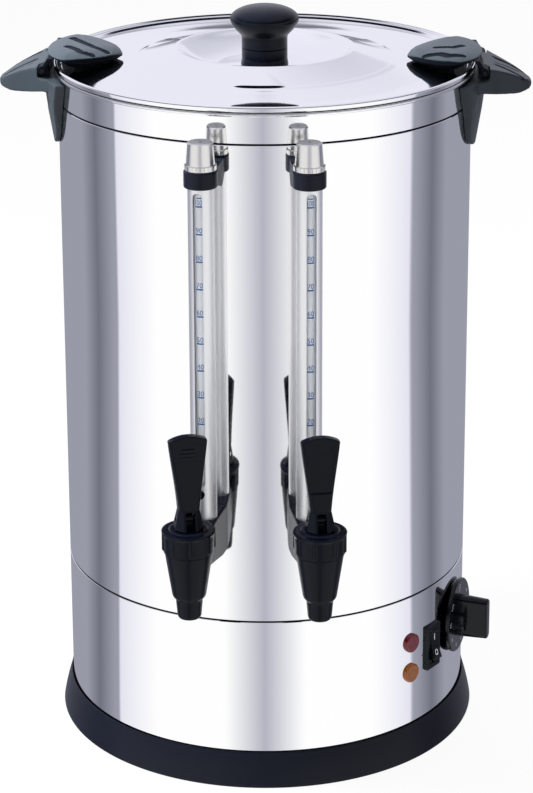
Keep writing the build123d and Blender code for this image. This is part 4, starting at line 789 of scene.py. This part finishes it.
def ring_mark(outer, inner, parts=28):
    """An upright oval ring."""
    points, faces = [], []
    for i in range(parts):
        a = 2 * math.pi * i / parts
        points += [(r * math.cos(a), r * RING_STRETCH * math.sin(a)) for r in (outer, inner)]
    for i in range(parts):
        j = (i + 1) % parts
        faces.append((2 * i, 2 * j, 2 * j + 1, 2 * i + 1))
    return points, faces


def on_rocker(x, y):
    """Place on the rocker's dished face; y is counted up from its pin."""
    out = direction(SWITCH_AZ)
    right = Vector((-out.y, out.x, 0))
    depth = ROCKER_RISE + 0.8 + 1.4 * (y / ROCKER_HALF) ** 2 + 0.07
    tilt = math.radians(ROCKER_TILT)
    reach = depth * math.cos(tilt) - y * math.sin(tilt)
    rise = depth * math.sin(tilt) + y * math.cos(tilt)
    return out * (ROCKER_AT + reach) + right * x + Vector((0, 0, SWITCH_Z + rise))


def on_dial(x, y):
    out = direction(DIAL_AZ)
    right = Vector((-out.y, out.x, 0))
    return out * (DIAL_FACE + 0.05) + right * x + Vector((0, 0, DIAL_Z + y))


def turned_mark(mark, degrees):
    """A mark turned clockwise, as seen from the front, about x = y = 0."""
    points, faces = mark
    c, s = math.cos(math.radians(degrees)), math.sin(math.radians(degrees))
    return [(x * c + y * s, -x * s + y * c) for x, y in points], faces


def make_control_marks():
    signs = [(*strip(0.95, 4.6, 1), 0, 3.4), (*ring_mark(1.75, 1.1), 0, -5.6)]
    print_on("rocker_signs", signs, on_rocker, "rocker", "white_print")
    marks = []
    for i, number in enumerate(range(30, 101, 10)):
        points, faces = flat_text(str(number), 2.6, 3.6 if number < 100 else 5.0)
        raised = [(x, y + 19.5) for x, y in points]
        marks.append((*turned_mark((raised, faces), DIAL_FIRST_AT + i * DIAL_STEP), 0, 0))
    marks.append((*strip(0.9, 5.5, 1), 0, 17.5))
    print_on("dial_numbers", marks, on_dial, "thermostat_knob", "white_print")


# ---------------------------------------------------------------- carrying handles
LEG_CROWN_AT = 35.4
LEG_PROUD = ((409, 2.2), (414.5, 3.4), (425, 5.0), (438, 7.0), (450, 8.8), (468, 9.6))
LEG_HALF_W = ((414, 36), (418, 36), (426.5, 51), (438, 56), (452, 60), (464, 63), (480, 63))
LEG_NARROW = ((400, 0.76), (440, 0.76), (464, 0.84), (500, 0.84))
LEG_GRIP_HALF_W = ((436, 0), (444, 37), (500, 37))   # the part that the grip keeps as it is
LEG_LIFT = 1.5          # the leg's round end lies this much higher
# Height of the grip's underside by distance from the axis.
GRIP_UNDER = ((100, 456.0), (146, 456.0), (156, 453.4), (172, 450.4), (200, 450.4))
GRIP_FILLET = 3.2
GRIP_GROOVE_SHADE_W = 4.4
# Painted shade of the grips' finger grooves, as dark strips along lines of (distance outside the wall,
# sideways), start and end.
GRIP_GROOVE_SHADES = {
    "left": (((13.2, -21), (33.7, -14.1)), ((13.3, 1.2), (37.4, 5.3))),
    "right": (((13.9, 14.5), (36.3, 7.3)), ((14.2, -8.4), (38.2, -11.5)))}


def table(rows, at):
    """Value at a place, read off straight lines between the rows."""
    for (x0, y0), (x1, y1) in zip(rows, rows[1:]):
        if at <= x1:
            return y0 + (y1 - y0) * max(0.0, (at - x0) / (x1 - x0))
    return rows[-1][1]


def leg_front(y, z):
    """Distance of the leg's outer face from the urn's axis plane."""
    radius = BODY_R + table(LEG_PROUD, z) - LEG_CROWN_AT
    return LEG_CROWN_AT + math.sqrt(max(1.0, radius ** 2 - y ** 2))


def wall_front(y):
    return math.sqrt(max(1.0, BODY_R ** 2 - y ** 2))


def narrowed(x, y, z):
    """Draw the leg in sideways, along the wall."""
    if x < 100 or z > 470:
        return x, y, z
    keep = table(LEG_GRIP_HALF_W, z)
    if abs(y) <= keep:
        return x, y, z
    wide = max(table(LEG_HALF_W, z), keep + 1)
    target = max(wide * table(LEG_NARROW, z), keep)
    new = math.copysign(keep + (abs(y) - keep) * (target - keep) / (wide - keep), y)
    depth = (x - wall_front(y)) / max(0.5, leg_front(y, z) - wall_front(y))
    return wall_front(new) + depth * (leg_front(new, z) - wall_front(new)), new, z


def undercut(x, y, z):
    """Clear the corner under the grip down to the leg's face, with a small hollow round."""
    out = x - leg_front(y, z)
    under = table(GRIP_UNDER, x)
    below = under - z
    if below <= 0 or z < 436 or out < -1.5:
        return x, y, z
    cut = max(0.0, min(out, below))
    out, below = out - cut, below - cut
    round_r = GRIP_FILLET * min(1.0, max(0.0, (35.0 - abs(y)) / 4))
    if out < round_r and below < round_r and out > -0.6:
        reach = math.hypot(round_r - out, round_r - below)
        if reach > round_r > 0:
            out = round_r - (round_r - out) * round_r / reach
            below = round_r - (round_r - below) * round_r / reach
    return leg_front(y, z) + out, y, under - below


def handle_shape(sign):
    def reshape(x, y, z):
        x, y = x * sign, y * sign
        x, y, z = narrowed(x, y, z)
        x, y, z = undercut(x, y, z)
        z += LEG_LIFT * min(1.0, max(0.0, (440 - z) / 25))
        return x * sign, y * sign, z
    return reshape


def draped(name, ground, spots, width, node, material, rise=0.06):
    """A thin strip laid on the upper face of a piece along a line of (x, y) spots, narrow at its ends."""
    mesh = ground.data
    tree = BVHTree.FromPolygons([v.co for v in mesh.vertices], [f.vertices for f in mesh.polygons])
    vertices, faces = [], []
    steps, across = 26, 4
    lengths = [0.0]
    for a, b in zip(spots, spots[1:]):
        lengths.append(lengths[-1] + math.dist(a, b))
    for i in range(steps + 1):
        run = lengths[-1] * i / steps
        k = max(j for j in range(len(spots) - 1) if lengths[j] <= run + 1e-9)
        a, b = Vector(spots[k]), Vector(spots[k + 1])
        centre = a.lerp(b, (run - lengths[k]) / (lengths[k + 1] - lengths[k]))
        side = (b - a).normalized().orthogonal()
        half = width / 2 * (1 - abs(2 * i / steps - 1) ** 6) ** 0.5 + 0.02
        for j in range(across + 1):
            spot = centre + side * half * (2 * j / across - 1)
            hit = tree.ray_cast(Vector((spot.x, spot.y, 600)) * M, Vector((0, 0, -1)))[0]
            height = hit.z / M if hit else 460.0
            vertices.append((spot.x * M, spot.y * M, (height + rise) * M))
    for i in range(steps):
        for j in range(across):
            k = i * (across + 1) + j
            faces.append((k, k + 1, k + across + 2, k + across + 1))
    mesh = bpy.data.meshes.new(name)
    mesh.from_pydata(vertices, [], faces)
    placed(name, mesh, node, material)


def make_handles():
    for side, sign in SIDES.items():
        node = "handle_" + side
        handle = softened(node, 0.7, 8, reshape=handle_shape(sign))
        for i, ends in enumerate(GRIP_GROOVE_SHADES[side]):
            spots = [(sign * (BODY_R + x), sign * y) for x, y in ends]
            # Each strip is painted shade, laid on the grip where a finger groove would hold shade.
            draped(f"{node}_groove_{i}", handle, spots, GRIP_GROOVE_SHADE_W, node, "black_screw_and_painted_shade")


# ---------------------------------------------------------------- lid locks
PIN_AT = 147.5
PIN_Z = 469.5
LEAF_HALF_W = 38.2
LEAF_REACH = 51.0
LEAF_CORNER = 16.0      # where the leaf is widest, from the hinge
LEAF_DOME = 2.7
LEAF_DOME_RUN = 15.0
LEAF_BEVEL = 0.4
LEAF_MID = ((0, 8.3), (51, 3.2))                          # height of the hull's widest line
LEAF_EDGE = ((0, 8.9), (24, 8.9), (45, 7.1), (48.5, 6.2), (51, 4.9))    # height of the crease
LEAF_GROOVE_HALF_W = 3.0
LEAF_GROOVE_D = 0.8
# Finger grooves of the leaves, pressed into the cap and painted dark as their shade: (distance from the hinge
# towards the lid's middle, sideways).
LEAF_GROOVES = {
    "left": (((15.4, -16.2), (24.3, -2.5), (33.4, 8.9), (41.5, 13.5)),
             ((15.0, 9.4), (20.7, 16.8), (25.2, 24.5), (32.5, 25.5))),
    "right": (((31.5, -4.6), (24.8, -6.0), (20.4, -7.4), (14.6, -1.8)),
              ((39.0, -19.5), (29.7, -22.1), (24.0, -28.5), (15.2, -29.0)))}


def spot_distance(spot, chain):
    best = 1e9
    for a, b in zip(chain, chain[1:]):
        a, b = Vector(a), Vector(b)
        run = b - a
        along = min(1.0, max(0.0, (spot - a).dot(run) / run.length_squared))
        best = min(best, (spot - a - run * along).length)
    return best


def leaf_span(y):
    """Nearest and furthest reach of the leaf's outline from the hinge at a sideways place."""
    part = min(1.0, abs(y) / LEAF_HALF_W)
    near = LEAF_CORNER - (LEAF_CORNER - 0.6) * (1 - part ** 2) ** 0.62
    far = LEAF_CORNER + (LEAF_REACH - LEAF_CORNER) * (1 - part ** 1.5) ** 0.61
    return near, far


def make_leaf_cap(side, sign):
    """Upper face of the leaf in the lever's own colour: a crisp edge all round, a low dome and finger grooves
    pressed into it. Its walls, underside and groove floors take the darker copy, as painted shade.
    """
    rows, columns = 180, 100
    outline = [Vector((t, y)) for y in [LEAF_HALF_W * math.sin(math.pi * (i / 60 - 0.5)) for i in range(61)]
               for t in leaf_span(y)]
    near_line, far_line = outline[0::2], outline[1::2]
    top, floor, groove_shade_mask = [], [], []
    for i in range(rows + 1):
        y = LEAF_HALF_W * math.sin(math.pi * (i / rows - 0.5))
        near, far = leaf_span(y)
        for j in range(columns + 1):
            t = near + (far - near) * j / columns
            spot = Vector((t, y))
            edge = min(spot_distance(spot, near_line), spot_distance(spot, far_line))
            if i in (0, rows) or j in (0, columns):
                edge = 0.0
            dome = LEAF_DOME * (1 - (1 - min(1.0, edge / LEAF_DOME_RUN)) ** 2)
            bevel = LEAF_BEVEL * max(0.0, 1 - edge / LEAF_BEVEL) ** 2
            groove = min(spot_distance(spot, chain) for chain in LEAF_GROOVES[side])
            press = LEAF_GROOVE_D * min(1.0, max(0.0, (LEAF_GROOVE_HALF_W - groove) / 0.9))
            # Faces in and at the edge of a groove take the dark copy: painted shade.
            groove_shade_mask.append(groove < LEAF_GROOVE_HALF_W + 0.25)
            height = table(LEAF_EDGE, t) + dome - bevel - press
            x = sign * (PIN_AT - t)
            top.append((x * M, sign * y * M, (PIN_Z + height) * M))
            floor.append((x * M, sign * y * M, (PIN_Z + table(LEAF_MID, t) + 0.2) * M))
    count = len(top)
    wide = columns + 1
    faces, dark = [], []
    for i in range(rows):
        for j in range(columns):
            k = i * wide + j
            quad = (k, k + 1, k + wide + 1, k + wide)
            faces.append(quad)
            dark.append(all(groove_shade_mask[v] for v in quad))
            faces.append(tuple(v + count for v in reversed(quad)))
            dark.append(True)
    # The walls round the cap, like its underside, take the dark copy: painted shade.
    ring = list(range(wide)) + [i * wide + columns for i in range(1, rows + 1)]
    ring += [rows * wide + j for j in range(columns - 1, -1, -1)] + [i * wide for i in range(rows - 1, 0, -1)]
    for a, b in zip(ring, ring[1:] + ring[:1]):
        faces.append((b, a, a + count, b + count))
        dark.append(True)
    mesh = bpy.data.meshes.new("leaf_" + side)
    mesh.from_pydata(top + floor, [], faces)
    two_tone(mesh, dark)
    weld(mesh)
    placed("lock_leaf_" + side, mesh, "lock_lever_" + side, "lever_grey", 50, "lever_painted_shade")


def leaf_hull(sign):
    """The lever below its widest line; the cap takes the place of what is above it."""
    def reshape(x, y, z):
        t = PIN_AT - x * sign
        if t > 0.5:
            z = min(z, PIN_Z + table(LEAF_MID, t) + 0.35)
        return x, y, z
    return reshape


def make_lid_locks():
    for side, sign in SIDES.items():
        # The lever below its cap takes the darkened copy of its colour: painted shade.
        softened("lock_lever_" + side, 0.5, 8, "lever_painted_shade", reshape=leaf_hull(sign))
        make_leaf_cap(side, sign)


# ---------------------------------------------------------------- building
make_shells()
make_lid()
make_bead()
make_base()
make_scales()
make_control_marks()
make_handles()
make_lid_locks()
for side in SIDES:
    softened("tap_handle_" + side, 0.4, 5)
    softened("tap_body_" + side, 0.5, 4)
    softened("tap_bonnet_" + side, 0.4, 3)
softened("lid_knob", 0.5, 3, reshape=knob_dome)
